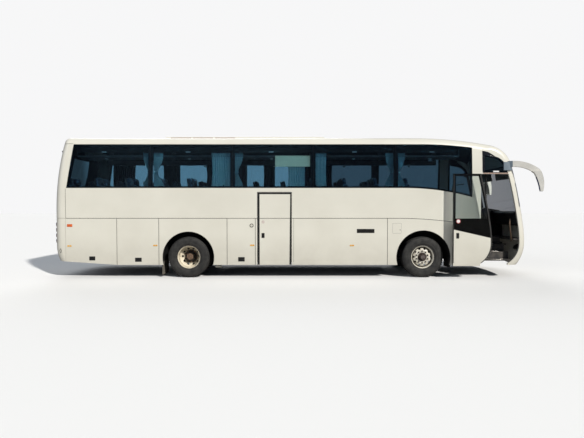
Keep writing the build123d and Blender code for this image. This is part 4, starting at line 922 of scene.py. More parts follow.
# Pelmets before the curtain runners, with pale brackets and lamp domes
brackets = Form()
for label, side in SIDES.items():
    profile = [(1.168, 3.335), (1.172, 3.338), (1.177, 3.2), (1.174, 3.196), (1.1665, 3.196), (1.166, 3.2)]
    rings = [[(x, side * y, z) for y, z in profile] for x in (-5.58, -3.7, -1.65, 0.45, 2.55, 4.1)]
    Form().rings(rings).piece(f"curtain_pelmet_{label}", "black_plastic")
    for x in (-4.925, -2.776, -0.65, 1.484, 3.468):
        brackets.plate(on_wall(side, x, 3.215, 1.1755), 0.06, 0.014, 0.006, r=0.006)
        brackets.turned([(0.042, 0.0), (0.042, 0.012), (0.034, 0.028), (0.018, 0.038), (0.004, 0.041)],
                        axis_place((x, side * 1.02, 3.072), (0, 0, -1)), 20)
brackets.piece("rack_lamp_domes", "rack_plastic", lamp_white, smooth=40)

# Seats: padded cushions, backs and wings over plastic shells, on tube pedestals
SEAT_FRONT_X = 3.45
SEAT_PITCH = 0.8
SEAT_Y = 0.7
SEAT_BACK_Z = 2.6
SEAT_CUSHION = 0.44
SEAT_LONG = 0.68
MID_STEPS_X = (-1.03, -0.07)


def pillow(form, size, place, n=4.5, cuts=5, channels=0, groove=0.004):
    """A stuffed block with round edges; channels are sewn lines along its X axis."""
    part = bmesh.new()
    bmesh.ops.create_cube(part, size=2)
    bmesh.ops.subdivide_edges(part, edges=part.edges[:], cuts=cuts, use_grid_fill=True)
    for v in part.verts:
        p = v.co
        spread = (abs(p.x) ** n + abs(p.y) ** n + abs(p.z) ** n) ** (1 / n)
        p = p / spread * max(abs(p.x), abs(p.y), abs(p.z)) * 1.02
        if channels and abs(v.co.z) > 0.9:
            p.z *= 1 - groove / size[2] * 2 * (1 - abs(math.sin(math.pi * (p.y + 1) / 2 * channels)))
        v.co = Vector((p.x * size[0] / 2, p.y * size[1] / 2, p.z * size[2] / 2))
    form.add(part, place)


def seat(soft, hard, x, y, floor_z, back_z, width):
    """One seat: soft parts in one mesh, shell and rests in another."""
    cushion_z = floor_z + SEAT_CUSHION
    lean = math.atan2(0.16, back_z - cushion_z)
    cushion = Matrix.Translation((x - 0.225, y, cushion_z - 0.062))
    pillow(soft, (0.46, width * 0.96, 0.13), cushion, channels=3)
    foot = Vector((x - 0.475, y, cushion_z - 0.03))
    up = Vector((-math.sin(lean), 0, math.cos(lean)))
    turn = Matrix.Rotation(-lean, 4, "Y")
    tall = (back_z - cushion_z) / math.cos(lean)
    back = Matrix.Translation(foot + up * (tall * 0.4)) @ turn @ Matrix.Rotation(math.radians(90), 4, "Y")
    pillow(soft, (tall * 0.78, width * 0.94, 0.105), back, channels=3)
    for sign in (-1, 1):
        wing = Matrix.Translation(foot + up * (tall * 0.42) + Vector((0.04, sign * width * 0.43, 0))) @ turn
        pillow(soft, (0.06, 0.05, tall * 0.62), wing, cuts=3)
    head = Matrix.Translation(foot + up * (tall * 0.875) + Vector((0.006, 0, 0))) @ turn
    pillow(soft, (0.1, width * 0.8, tall * 0.23), head, n=3.4)
    shell = []
    for h, half, thick in ((0.02, 0.44, 0.02), (0.1, 0.47, 0.03), (0.6, 0.475, 0.03), (0.86, 0.42, 0.028),
                           (0.95, 0.34, 0.02), (0.975, 0.22, 0.01)):
        at = foot + up * (tall * h) - Vector((0.062, 0, 0))
        shell.append([at + Vector((-thick * math.cos(a), half * width * math.sin(a), 0))
                      for a in (math.radians(d) for d in (-90, -70, -45, -20, 0, 20, 45, 70, 90))]
                     + [at + Vector((0.012, half * width * s, 0)) for s in (0.9, 0, -0.9)])
    hard.rings(shell)
    base = Vector((x - 0.235, y, cushion_z - 0.135))
    half = width * 0.44
    hard.box(base + Vector((-0.22, -half, -0.012)), base + Vector((0.2, half, 0.012)), bevel=0.006)


def armrest(hard, x, y, cushion_z):
    """A folding armrest with its pivot."""
    hard.box((x - 0.46, y - 0.021, cushion_z + 0.165), (x - 0.12, y + 0.021, cushion_z + 0.2), bevel=0.012)
    pivot = axis_place((x - 0.46, y, cushion_z + 0.18), (0, 1, 0))
    hard.turned([(0.026, -0.014), (0.026, 0.014)], pivot, 14)
    hard.box((x - 0.485, y - 0.014, cushion_z - 0.1), (x - 0.44, y + 0.014, cushion_z + 0.18), bevel=0.006)


def seat_pair(name, x, y, floor_z, back_z):
    """Two seats on one pedestal with armrests and grab handles."""
    side = 1 if y > 0 else -1
    soft = Form()
    hard = Form()
    for offset in (-0.215, 0.215):
        seat(soft, hard, x, y + offset, floor_z, back_z, 0.41)
    cushion_z = floor_z + SEAT_CUSHION
    for rest_y in (y - side * 0.428, y):
        armrest(hard, x, rest_y, cushion_z)
    for leg_y in (y - side * 0.29, y + side * 0.2):
        for foot_x, top_x in ((x - 0.12, x - 0.17), (x - 0.36, x - 0.31)):
            hard.tube([(foot_x, leg_y, floor_z + 0.012), (top_x, leg_y, cushion_z - 0.14)], 0.017, 10)
        hard.box((x - 0.42, leg_y - 0.025, floor_z), (x - 0.06, leg_y + 0.025, floor_z + 0.012), bevel=0.003)
    top = Vector((x - 0.6, y - side * 0.4, back_z - 0.16))
    handle = ((0, 0, 0), (-0.06, 0, 0.03), (-0.07, 0, 0.075), (-0.02, 0, 0.1))
    hard.tube([top + Vector(p) for p in handle], 0.011, 8)
    pads = soft.piece(f"seat_pads_{name}", "seat_fabric", smooth=60)
    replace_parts(pads, "seats")
    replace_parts(hard.piece(f"seat_frame_{name}", "grey_plastic", smooth=35), "seats")


for row in range(12):
    x = SEAT_FRONT_X - row * SEAT_PITCH
    seat_pair(f"left_{row + 1}", x, SEAT_Y, FLOOR_Z, SEAT_BACK_Z)
    if x - SEAT_LONG > MID_STEPS_X[1] or x < MID_STEPS_X[0]:
        seat_pair(f"right_{row + 1}", x, -SEAT_Y, FLOOR_Z, SEAT_BACK_Z)
soft = Form()
hard = Form()
seat(soft, hard, 5.0, 0.62, DRIVER_FLOOR_Z, DRIVER_FLOOR_Z + 1.15, 0.48)
hard.turned([(0.17, 0.0), (0.17, 0.02), (0.12, 0.04), (0.11, 0.29), (0.16, 0.3)],
            Matrix.Translation((4.76, 0.62, DRIVER_FLOOR_Z + 0.002)), 28)
for y in (0.36, 0.88):
    armrest(hard, 5.0, y, DRIVER_FLOOR_Z + SEAT_CUSHION)
pads = soft.piece("driver_seat_pads", "seat_fabric", smooth=60)
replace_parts(pads, "seats")
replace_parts(hard.piece("driver_seat_frame", "grey_plastic", smooth=35), "seats")

# Rack lights and air outlets under the luggage racks
form = Form()
lens = Form()
for side in (-1, 1):
    for i in range(14):
        at = Matrix.Translation((-5.3 + i * 0.7, side * 0.92, 3.083)) @ Matrix.Rotation(math.pi, 4, "X")
        form.turned([(0.055, -0.006), (0.055, 0.006), (0.05, 0.01), (0.03, 0.01)], at, 20)
        lens.turned([(0.031, 0.0), (0.031, 0.011), (0.022, 0.016), (0.008, 0.0175)], at, 18)
        for dx in (-0.12, 0.12):
            form.turned([(0.03, -0.006), (0.03, 0.008), (0.02, 0.012), (0.018, 0.004)], moved(at, dx), 14)
form.piece("rack_outlets", "rack_plastic", smooth=40)
lens.piece("rack_lights", "rack_plastic", lamp_white, smooth=40)

# Front door: handle and blank sticker
place = on_wall(-1, 4.036, 1.087, DOOR_SKIN_Y - 0.0004)
form = Form().rim(place, 0.036, 0.07, 0.009, 0.005, r=0.009).plate(place, 0.029, 0.063, 0.0012, r=0.005)
form.plate(place, 0.02, 0.0285, 0.007, r=0.005, edge=0.0025, at=(0, 0.0235))
form.turned([(0.01, 0.001), (0.01, 0.004), (0.007, 0.005)], moved(place, 0, -0.04), 18)
form.piece("front_door_handle", "black_plastic", body="front_door")
place = on_wall(-1, 4.05, 1.45, DOOR_SKIN_Y - 0.0002)
form = Form().turned([(0.055, 0), (0.055, 0.0008), (0.0545, 0.0012), (0.001, 0.0012)], place)
form.piece("front_door_sticker", "body_paint", lamp_white, body="front_door")
form = Form().turned([(0.055, 0.0012), (0.055, 0.0018), (0.044, 0.0018), (0.044, 0.0012)], place, loop=True)
form.piece("front_door_sticker_ring", "lamp_red", body="front_door")


# Front door: flat rubber strips along its edges, from the outline of its own mesh
def spaced(low, high, count):
    """Numbers in even steps, both ends included."""
    return [low + i * (high - low) / (count - 1) for i in range(count)]


STRIP_LOW_Z = 0.402  # above the lower corner, clear of the mask when the door is closed
STRIP_IN_Y = -1.4735
STRIP_OUT_Y = -1.4787
door_tree = surface_tree("front_door", "front_door_glass")
for towards, label, start_x, width in ((1, "rear", 3.4, 0.014), (-1, "front", 5.4, 0.032)):
    near, far = towards * 0.0012, towards * width
    corners = ((near, STRIP_IN_Y), (near, STRIP_OUT_Y), (far, STRIP_OUT_Y), (far, STRIP_IN_Y))
    rings = []
    for z in spaced(STRIP_LOW_Z, 2.62, 47):
        at, _ = skin_point(door_tree, (start_x, -1.47, z), (towards, 0, 0))
        if at:
            rings.append([(at.x + dx, y, z) for dx, y in corners])
    Form().rings(rings).piece(f"front_door_{label}_seal", "rubber", smooth=60, body="front_door")

# Front doorway: rubber along its upright edges and a small lamp over it
opening_tree = surface_tree("side_wall_right", "front_mask", "roof", "side_glass_right")
form = Form()
for towards, count, least_x, most_x in ((1, 40, 5.05, 5.9), (-1, 24, 4.5, 5.05)):
    line = []
    for z in spaced(0.42, 2.6, count):
        at, _ = skin_point(opening_tree, (5.05, -1.25, z), (towards, 0, 0))
        if at and least_x < at.x < most_x:
            line.append((at.x - towards * 0.003, -1.245, z))
    form.tube(line, 0.0035, 8)
form.piece("doorway_seal", "rubber", smooth=60)
form = Form().plate(on_wall(-1, 5.075, 2.71, HALF_W - 0.0125), 0.075, 0.019, 0.014, r=0.008, edge=0.004)
form.piece("doorway_lamp", "lamp_clear", lamp_white, smooth=40)

# Handrails, post and step edges inside the front doorway
RAILS = (
    (0.014, [(5.56, -1.1, 0.93), (5.55, -1.135, 0.99), (5.515, -1.14, 1.2), (5.5, -1.14, 1.42),
             (5.53, -1.1, 1.5)]),
    (0.015, [(4.97, -0.42, 1.02), (4.99, -0.42, 1.9), (4.93, -0.42, 2.05), (4.72, -0.42, 2.05)]),
    (0.015, [(4.3, -0.35, 1.49), (4.3, -0.35, 2.33), (4.3, -0.45, 2.4), (4.3, -1.12, 2.4)]),
    (0.012, [(4.3, -0.35, 2.0), (4.3, -1.12, 2.0)]),
)
form = Form()
for radius, points in RAILS:
    form.tube(points, radius)
form.piece("handrails", "cast", brass_rail, smooth=50)
form = Form()
steps_tree = surface_tree("steps", "cabin_floor")
for y in (-1.18, -0.92, -0.66, -0.4):
    z = skin_point(steps_tree, (5.12, y + 0.02, 1.6), (0, 0, -1))[0].z
    form.box((4.93, y - 0.012, z), (5.32, y + 0.03, z + 0.004), bevel=0.0015)
    for rib in (y - 0.006, y + 0.006, y + 0.018):
        form.box((4.93, rib, z + 0.003), (5.32, rib + 0.005, z + 0.006), bevel=0.001)
form.piece("step_edges", "cast", steel)

# Dashboard: dials, switches and column stalks
form = Form()
dials = Form()
dash_tree = surface_tree("dashboard")
for y, r in ((0.5, 0.055), (0.62, 0.062), (0.74, 0.055), (0.42, 0.03), (0.83, 0.03)):
    at, normal = skin_point(dash_tree, (4.9, y, 1.72), Vector((1, 0, -0.12)).normalized())
    if at:
        place = skin_place(at, normal)
        form.turned([(r, -0.002), (r, 0.012), (r * 0.9, 0.014), (r * 0.86, 0.006)], place, 32)
        dials.turned([(r * 0.86, 0.004), (r * 0.86, 0.0055), (r * 0.1, 0.006)], place, 32)
for i in range(9):
    at, normal = skin_point(dash_tree, (4.9, 0.24 + (i % 3) * 0.045, 1.7 - (i // 3) * 0.05), (1, 0, 0))
    if at:
        form.plate(skin_place(at, normal), 0.018, 0.013, 0.007, r=0.004, edge=0.002)
form.piece("dashboard_switches", "black_plastic")
dials.piece("dashboard_dials", "black_plastic", frit_black)
form = Form()
stalk = ((5.21, 0.04, 1.7), (5.19, 0.14, 1.71), (5.185, 0.19, 1.7))
for sign in (-1, 1):
    form.tube([(x, 0.62 + sign * out, z) for x, out, z in stalk], [0.008, 0.007, 0.011], 10)
form.piece("column_stalks", "black_plastic", smooth=50)

# Sun visors above the windscreen
form = Form()
across = Vector((0, 1, 0))
for y in (-0.55, 0.55):
    top, _ = nose_point(y, 2.86, -0.07)
    down = (nose_point(y, 2.56, -0.09)[0] - top).normalized()
    out = across.cross(down).normalized()
    rings = []
    for s, half, thick in ((0, 0.41, 0.003), (0.02, 0.42, 0.009), (0.28, 0.42, 0.009), (0.3, 0.41, 0.003)):
        rings.append([top + down * s + across * u * half + out * v * thick
                      for u, v in ((1, 1), (-1, 1), (-1, -1), (1, -1))])
    form.rings(rings)
form.piece("sun_visors", "grey_plastic")

# Windscreen and rear window: rubber seals laid on the skin
for name, finder, outline in (("windscreen_seal", nose_point, (-1.105, 1.105, 1.325, 2.895)),
                              ("rear_window_seal", tail_point, (-0.956, 0.956, 2.324, 3.176))):
    points = [finder(y, z, 0.0005)[0] for y, z in dense(rounded_outline(*outline, 0.05))]
    Form().tube(points + points[:2], 0.006, 8, cap=False).piece(name, "rubber", smooth=70)

# Wipers: two arms from spindles under the windscreen
form = Form()
blades = Form()
for spindle_y in (-0.82, 0.05):
    place = nose_place(spindle_y, 1.245)
    form.turned([(0.03, -0.004), (0.03, 0.012), (0.024, 0.02), (0.012, 0.026)], place, 20)
    arm = [nose_point(spindle_y + s * 0.5, 1.25 + s * 0.15, 0.022 + 0.03 * math.sin(math.pi * s))[0]
           for s in (0, 0.15, 0.35, 0.6, 0.85, 1)]
    form.tube(arm, [0.013, 0.012, 0.009, 0.007, 0.006, 0.005], 8)
    blade, rubber = ([nose_point(spindle_y + 0.08 + s * 0.84, 1.368 + 0.036 * math.sin(math.pi * s), lift)[0]
                      for s in spaced(0, 1, 13)] for lift in (0.017, 0.008))
    form.tube(blade, 0.0055, 6).tube([arm[-1], blade[6]], 0.007, 6)
    for k in (2, 5, 7, 10):
        form.tube([blade[k] + (blade[k] - rubber[k]) * 1.2, rubber[k]], 0.004, 6)
    blades.tube(rubber, 0.0048, 6)
form.piece("wiper_arms", "black_plastic", smooth=50)
blades.piece("wiper_blades", "rubber", smooth=50)

# Headlamps: round reflectors, bulbs and dark housings behind the clear covers
HOUSING = ((0.62, 0.675), (0.95, 0.655), (1.1, 0.785), (1.125, 0.905), (1.05, 0.88), (0.66, 0.765))
REFLECTOR = ((1, 0.0), (1.04, -0.001), (1.04, -0.004), (1, -0.004), (0.92, -0.012), (0.7, -0.021),
             (0.4, -0.027), (0.16, -0.029))
BULB = ((0.16, -0.029), (0.17, -0.018), (0.12, -0.012), (0.02, -0.01))
cups = Form()
bulbs = Form()
housing = Form()
amber = Form()
for side in (-1, 1):
    outline = dense([(side * y, z) for y, z in HOUSING], 0.04)
    if side < 0:
        outline.reverse()
    front, back = ([nose_point(y, z, lift)[0] for y, z in outline] for lift in (-0.004, -0.085))
    middle = sum(back, Vector()) / len(back)
    bottom = [[middle + (p - middle) * share for p in back] for share in (0.5, 0.02)]
    housing.rings([front, back] + bottom, cap=False)
    for y, z, r in ((0.745, 0.717, 0.036), (0.86, 0.725, 0.044), (0.975, 0.752, 0.046)):
        place = nose_place(side * y, z, -0.007)
        cups.turned([(r * share, height) for share, height in REFLECTOR], place, 32)
        bulbs.turned([(r * share, height) for share, height in BULB], place, 16)
    amber.turned([(0.034, -0.014), (0.034, -0.004), (0.026, 0.001), (0.004, 0.003)],
                 nose_place(side * 1.062, 0.835, -0.007), 24)
cups.piece("headlamp_reflectors", "lamp_clear", chrome, smooth=50)
bulbs.piece("headlamp_bulbs", "lamp_clear", lamp_white, smooth=50)
amber.piece("headlamp_indicators", "lamp_red", lamp_amber, smooth=50)
housing.piece("headlamp_housings", "black_plastic", smooth=50)
form = Form()
lens = Form()
for side in (-1, 1):
    place = nose_place(side * 0.86, 0.52)
    form.turned([(0.07, -0.012), (0.07, 0.003), (0.062, 0.006), (0.052, 0.004)], place, 36)
    lens.turned([(0.052, -0.006), (0.052, 0.002), (0.036, 0.008), (0.012, 0.0105), (0.001, 0.011)],
                place, 36)
form.piece("fog_lamp_bezels", "black_plastic", smooth=40)
lens.piece("fog_lamp_lenses", "lamp_clear", lamp_white, smooth=50)


# Grille and louvre slots: dark mesh at their bottoms, partly painted shade for the depth of the slots
def slot_shade_mesh(node_name, towards, half_w, low_z, count, pitch, columns=40, high=0.02, lift=0.002):
    """Dark ribbed strips at each slot's bottom, partly painted shade, found by rays from outside along X."""
    tree = surface_tree(node_name)

    def bottom(y, z, off):
        return skin_point(tree, (-8 * towards, y, z), (towards, 0, 0))[0] + Vector((-towards * off, 0, 0))

    form = Form()
    for i in range(count):
        z = low_z + i * pitch + 0.001
        form.grid([[bottom(y, z, lift), bottom(y, z + high, lift)]
                   for y in spaced(-half_w, half_w, columns + 1)])
        for y in spaced(-half_w + 0.01, half_w - 0.01, columns // 2 + 1):
            form.tube([bottom(y, z, lift + 0.004), bottom(y, z + high, lift + 0.004)], 0.004, 6)
    return form


slot_shade_mesh("front_mask", -1, 0.465, 0.69, 4, 0.044).piece("grille_shade_mesh", "black_plastic", smooth=40)
form = slot_shade_mesh("engine_lid", 1, 0.635, 0.96, 8, 0.054)
form.piece("louvre_shade_mesh", "black_plastic", smooth=40, body="engine_lid")

# Blank number plates with their holders, screws in front and lamps behind
for end, body, (at, normal) in (("front", "root", nose_point(0, 0.55)),
                                ("rear", "engine_lid", tail_point(0, 0.76))):
    place = skin_place(at, normal)
    form = Form().rim(place, 0.27, 0.066, 0.014, 0.012, r=0.012)
    plates = Form().plate(place, 0.26, 0.056, 0.006, r=0.008, edge=0.001)
    if end == "front":
        form.box(at + Vector((-0.012, -0.26, -0.05)), at + Vector((0.002, 0.26, 0.05)))
        for u in (-0.24, 0.24):
            plates.turned([(0.006, 0.005), (0.006, 0.008), (0.003, 0.009)], moved(place, u), 12)
    else:
        for u in (-0.16, 0.16):
            form.plate(moved(place, u, 0.088), 0.035, 0.014, 0.01, r=0.008, edge=0.004)
    form.piece(f"{end}_plate_holder", "black_plastic", body=body)
    plates.piece(f"{end}_plate", "body_paint", lamp_white, body=body)

# Engine lid: grab recess and locks
place = tail_place(0, 0.62)
form = Form().rim(place, 0.09, 0.028, 0.01, 0.006, r=0.012).plate(place, 0.082, 0.02, 0.0015, r=0.01)
form.plate(place, 0.06, 0.011, 0.009, r=0.006, edge=0.003, at=(0, 0.007))
for y in (-0.6, 0.6):
    form.turned([(0.018, 0), (0.018, 0.004), (0.013, 0.006), (0.006, 0.004)], tail_place(y, 0.64), 20)
form.piece("engine_lid_handle", "black_plastic", body="engine_lid")

# Tail lamps: round lenses in bezels, reflectors low on the tail, marker lamps high up
bezels = Form()
reds = Form()
ambers = Form()
whites = Form()
for side in (-1, 1):
    for z, kind in ((0.94, reds), (1.08, reds), (1.22, ambers), (1.36, whites)):
        place = tail_place(side * 1.113, z)
        bezels.turned([(0.058, -0.002), (0.058, 0.004), (0.055, 0.006), (0.05, 0.003)], place, 36)
        kind.turned([(0.05, -0.001), (0.05, 0.004), (0.044, 0.0095), (0.03, 0.0105), (0.029, 0.0085),
                     (0.016, 0.0085), (0.015, 0.0105), (0.004, 0.011)], place, 36)
    reds.plate(tail_place(side * 1.0, 0.56), 0.06, 0.018, 0.007, r=0.006, edge=0.002)
bezels.piece("tail_lamp_bezels", "black_plastic", chrome, smooth=40)
reds.piece("tail_lamp_reds", "lamp_red", smooth=50)
ambers.piece("tail_lamp_ambers", "lamp_red", lamp_amber, smooth=50)
whites.piece("tail_lamp_whites", "lamp_clear", lamp_white, smooth=50)
form = Form()
for y in (-1.02, 1.02):
    place = tail_place(y, 3.25)
    form.plate(place, 0.028, 0.05, 0.012, r=0.01, edge=0.003)
    form.turned([(0.022, 0.01), (0.022, 0.034), (0.019, 0.04), (0.012, 0.041), (0.01, 0.036)],
                place @ Matrix.Rotation(math.radians(20), 4, "X"), 24)
form.piece("top_marker_lamps", "black_plastic", smooth=40)

# Diamond plug at the rear corner, by half height and half width
place = skin_place(*skin_point(surface_tree("rear_wall"), (-6.02, -3, 0.69), (0, 1, 0)))
rings = [[place @ Vector(p) for p in ((0, tall, h), (wide, 0, h), (0, -tall, h), (-wide, 0, h))]
         for tall, wide, h in ((0.065, 0.035, 0), (0.065, 0.035, 0.0022), (0.046, 0.024, 0.0022),
                               (0.046, 0.024, 0), (0.065, 0.035, 0))]
Form().rings(rings, cap=False).piece("corner_plug", "black_plastic", smooth=0)


# Corner glass: its black border on the skin, up to the roof band, and the strip over the doorway
def wall_patch(form, tree, side, columns, lift):
    """A sheet on the side skin through columns of (x, low z, high z)."""
    form.grid([[skin_point(tree, (x, side * 2, z), (0, -side, 0), lift)[0] for z in spaced(low_z, high_z, 9)]
               for x, low_z, high_z in columns])


def height_on(points, x):
    """Height at an X on a line of (x, z) points."""
    for (xa, za), (xb, zb) in zip(points, points[1:]):
        if xa <= x <= xb:
            return za + (zb - za) * (x - xa) / (xb - xa)
    return points[-1][1]


GLASS_BROW = [(4.73, 3.244), (4.881, 3.211), (5.024, 3.124), (5.1, 3.068)]
for label, side in SIDES.items():
    skin = surface_tree(f"side_wall_{label}", "roof", f"side_glass_{label}")
    form = Form()
    columns = []
    for x in spaced(4.73, 5.1, 25):
        top = height_on(GLASS_BROW, x)
        columns.append((x, min(top - 0.004, 3.128 - 0.2 * max(0, x - 4.8)), top))
    wall_patch(form, skin, side, columns, 0.0015)
    wall_patch(form, skin, side, [(x, 2.705, 3.15) for x in (4.73, 4.76, 4.79)], 0.0012)
    form.piece(f"corner_glass_border_{label}", "glass_dark", frit_black, smooth=60)
form = Form()
skin = surface_tree("side_wall_right", "roof")
wall_patch(form, skin, -1, [(4.75 + 0.03 * i, 2.656, 2.69) for i in range(22)], 0.002)
form.piece("doorway_header", "cast", brown_fins, smooth=60)

# Wheel arches: rubber lips along the edges of the walls
for label, side in SIDES.items():
    form = Form()
    for axle_x, radius in ((FRONT_AXLE_X, 0.69), (REAR_AXLE_X, 0.66)):
        start = math.degrees(math.asin((0.345 - TYRE_R) / radius))
        lip = arc((axle_x, TYRE_R), radius - 0.004, start, 180 - start, 48)
        form.tube([(x, side * 1.267, z) for x, z in lip], 0.0085, 8)
    form.piece(f"arch_lips_{label}", "rubber", smooth=60)

# Splash panels ahead of the front wheels, with their stays; the dark panels also darken the view through the
# arch, as painted shade
for label, side in SIDES.items():
    form = Form()
    for low_x, high_x, y0, y1, low_z, high_z, bevel in (
            (3.948, 3.956, 0.7, 1.2, 0.24, 0.62, 0.002), (3.944, 3.948, 0.72, 1.18, 0.34, 0.36, 0.001),
            (3.944, 3.948, 0.72, 1.18, 0.5, 0.52, 0.001)):
        low_y, high_y = sorted((side * y0, side * y1))
        form.box((low_x, low_y, low_z), (high_x, high_y, high_z), bevel)
    form.tube([(3.957, side * 0.8, 0.58), (3.99, side * 0.8, 0.66), (3.99, side * 0.8, 0.74)], 0.009, 8)
    form.piece(f"splash_panel_{label}", "rubber")

# Pale bracket under the skirt, ahead of the rear wheels' arch
form = Form().box((-2.09, -1.16, 0.25), (-1.93, -1.06, 0.3), bevel=0.012)
form.box((-2.03, -1.13, 0.29), (-1.99, -1.09, 0.43), bevel=0.006)
for x in (-2.06, -1.96):
    form.turned([(0.012, 0), (0.012, 0.009), (0.009, 0.012)], axis_place((x, -1.159, 0.275), (0, -1, 0)), 6)
form.piece("skirt_bracket", "cast", mirror_shell)

# Mirror glass on the hanging heads, with a rubber edge
MIRROR_ROOT = (5.33, 1.175)
MIRROR_TURN = math.radians(24)
mirror_tree = surface_tree("mirrors")
for label, side in SIDES.items():
    ahead = Vector((math.cos(MIRROR_TURN), side * math.sin(MIRROR_TURN), 0))
    across = Vector((-side * math.sin(MIRROR_TURN), math.cos(MIRROR_TURN), 0))
    root = Vector((MIRROR_ROOT[0], side * MIRROR_ROOT[1], 0)) + ahead * 0.4

    def on_head(u, z, lift):
        """A point on the head's rear face."""
        return skin_point(mirror_tree, root + across * u + Vector((0, 0, z)), ahead, lift)[0]

    glass = Form().grid([[on_head(-0.1 + 0.02 * j, 2.24 + 0.026 * i, 0.003) for j in range(11)]
                         for i in range(13)])
    glass.piece(f"mirror_glass_{label}", "mirror_plastic", chrome, smooth=60)
    line = [on_head(u, z, 0.002) for u, z in dense(rounded_outline(-0.106, 0.106, 2.232, 2.56, 0.03), 0.03)]
    form = Form().tube(line + line[:2], 0.0055, 8, cap=False)
    form.piece(f"mirror_edge_{label}", "rubber", smooth=60)

# Underbody: air tanks on their straps, drive shaft, silencer and its pipes
TANK_R = 0.125
TANK_LONG = 0.78
TANK_Z = 0.66


def tank_profile():
    """A drum with domed ends and two weld beads."""
    dome = [(TANK_R * math.sin(t), TANK_R * 0.45 * (1 - math.cos(t)))
            for t in (math.radians(d) for d in (4, 25, 45, 65, 90))]
    bead = [(TANK_R, TANK_LONG * 0.08), (TANK_R * 1.02, TANK_LONG * 0.085), (TANK_R, TANK_LONG * 0.09)]
    half = dome + bead
    return half + [(r, TANK_LONG - height) for r, height in reversed(half)]


form = Form()
straps = Form()
for y in (-0.83, 0.83):
    for x0 in (-5.52, -4.5):
        form.turned(tank_profile(), axis_place((x0, y, TANK_Z), (1, 0, 0)), 32)
        for x in (x0 + 0.2, x0 + 0.58):
            for dx in (-0.016, 0.016):
                straps.tube([(x + dx, py, pz) for py, pz in arc((y, TANK_Z), 0.128, -20, 200, 22)], 0.004, 6)
            straps.box((x - 0.02, y - 0.015, 0.78), (x + 0.02, y + 0.015, 0.84), bevel=0.003)
form.piece("air_tanks", "chassis_paint", smooth=50)
straps.piece("air_tank_straps", "cast", steel, smooth=50)
form = Form().tube([(-4.56, 0, 0.56), (-3.14, 0, 0.535)], 0.046, 20)
for x, z in ((-4.53, 0.558), (-3.19, 0.536)):
    place = axis_place((x, 0, z), (1, 0, 0))
    form.turned([(0.03, -0.04), (0.078, -0.03), (0.078, -0.012), (0.05, 0.0), (0.078, 0.012), (0.078, 0.03),
                 (0.03, 0.04)], place, 24)
    for angle in circle(4, 0.5):
        bolt = moved(place, 0.062 * math.cos(angle), 0.062 * math.sin(angle), 0.03)
        form.turned([(0.009, 0), (0.009, 0.008), (0.006, 0.01)], bolt, 6)
form.piece("drive_shaft", "chassis_paint", smooth=40)
place = axis_place((-5.93, -0.3, 0.58), (0, 1, 0))
form = Form().turned([(0.04, 0), (0.06, 0.012), (0.15, 0.03), (0.155, 0.05), (0.155, 0.56), (0.15, 0.58),
                      (0.06, 0.598), (0.04, 0.61)], place, 36)
for shift in (0.16, 0.44):
    form.turned([(0.152, 0), (0.159, 0.002), (0.159, 0.03), (0.152, 0.032)], moved(place, 0, 0, shift), 36)
form.tube([(-5.93, 0.3, 0.58), (-5.93, 0.52, 0.58), (-5.95, 0.6, 0.56), (-5.99, 0.64, 0.5),
           (-6.03, 0.65, 0.43), (-6.08, 0.65, 0.385), (-6.17, 0.65, 0.37)], 0.042, 18)
form.tube([(-5.93, -0.31, 0.58), (-5.93, -0.4, 0.6), (-5.85, -0.44, 0.66), (-5.72, -0.44, 0.7)], 0.042, 18)
form.piece("exhaust", "cast", smooth=40)


# Studio: pale floor, soft light
def layered(tree, kind, base, layers, output):
    """Shaders of one kind, where all but the base are seen by one sort of ray only."""
    rays = tree.nodes.new("ShaderNodeLightPath")
    total = base
    for ray, color in layers:
        layer = tree.nodes.new(kind)
        if isinstance(color, tuple):
            layer.inputs["Color"].default_value = (*color, 1)
        else:
            tree.links.new(color, layer.inputs["Color"])
        choice = tree.nodes.new("ShaderNodeMixShader")
        for source, slot in zip((rays.outputs[ray], total.outputs[0], layer.outputs[0]), choice.inputs):
            tree.links.new(source, slot)
        total = choice
    tree.links.new(total.outputs[0], tree.nodes.new(output).inputs[0])


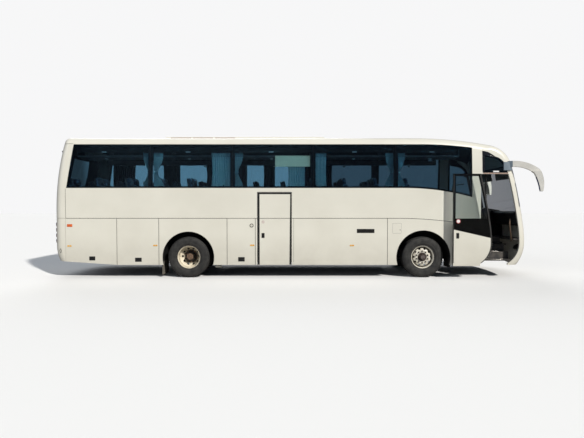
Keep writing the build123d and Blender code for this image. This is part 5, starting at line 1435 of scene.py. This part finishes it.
floor_material = bpy.data.materials.new("studio_floor")
floor_material.use_nodes = True
tree = floor_material.node_tree
tree.nodes.clear()
base = tree.nodes.new("ShaderNodeBsdfDiffuse")
base.inputs["Color"].default_value = (0.42, 0.41, 0.4, 1)
layered(tree, "ShaderNodeBsdfDiffuse", base,
        [("Is Glossy Ray", (0.16, 0.15, 0.14)), ("Is Camera Ray", (0.835, 0.835, 0.84))],
        "ShaderNodeOutputMaterial")
floor = bpy.data.objects.new("studio_floor", bpy.data.meshes.new("studio_floor"))
grid = bmesh.new()
bmesh.ops.create_grid(grid, x_segments=1, y_segments=1, size=150)
grid.to_mesh(floor.data)
grid.free()
floor.data.materials.append(floor_material)
scene.collection.objects.link(floor)
floor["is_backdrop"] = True


def sun(name, direction, strength, angle, color=(1, 1, 1)):
    """A distant soft light that shines along a direction."""
    lamp = bpy.data.lights.new(name, "SUN")
    lamp.energy = strength
    lamp.angle = math.radians(angle)
    lamp.color = color
    made = bpy.data.objects.new(name, lamp)
    made.rotation_euler = Vector(direction).to_track_quat("-Z", "Y").to_euler()
    scene.collection.objects.link(made)


sun("key", (-0.58, 0.66, -0.62), 3.95, 2.5, (1, 0.965, 0.9))
sun("fill", (0.75, 0.5, -0.4), 0.55, 40, (0.95, 0.97, 1))
sun("back", (0.2, -0.8, -0.7), 0.9, 40)

# World: through glass, trees show at the left, open sky in the middle and a dark building at the right
BEHIND_GLASS = [(0.07, (0.16, 0.15, 0.15)), (0.1, (0.72, 0.78, 0.82)), (0.5, (0.72, 0.78, 0.82)),
                (0.56, (0.26, 0.25, 0.27))]
world = bpy.data.worlds.new("studio")
scene.world = world
world.use_nodes = True
tree = world.node_tree
tree.nodes.clear()
ambient = tree.nodes.new("ShaderNodeBackground")
ambient.inputs["Color"].default_value = (0.68, 0.83, 1, 1)
ambient.inputs["Strength"].default_value = 0.18
split = tree.nodes.new("ShaderNodeSeparateXYZ")
tree.links.new(tree.nodes.new("ShaderNodeTexCoord").outputs["Generated"], split.inputs[0])
across = tree.nodes.new("ShaderNodeMapRange")
across.inputs["From Min"].default_value = -0.5
across.inputs["From Max"].default_value = 0.5
tree.links.new(split.outputs["X"], across.inputs["Value"])
behind = tree.nodes.new("ShaderNodeValToRGB")
tree.links.new(across.outputs["Result"], behind.inputs["Fac"])
stops = behind.color_ramp.elements
while len(stops) < len(BEHIND_GLASS):
    stops.new(0.5)
for stop, (position, color) in zip(stops, BEHIND_GLASS):
    stop.position = position
    stop.color = (*color, 1)
layered(tree, "ShaderNodeBackground", ambient,
        [("Is Glossy Ray", (0.06, 0.08, 0.15)), ("Is Transmission Ray", behind.outputs["Color"]),
         ("Is Camera Ray", (0.93, 0.93, 0.935))], "ShaderNodeOutputWorld")
scene.view_settings.view_transform = "Standard"

low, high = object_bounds()
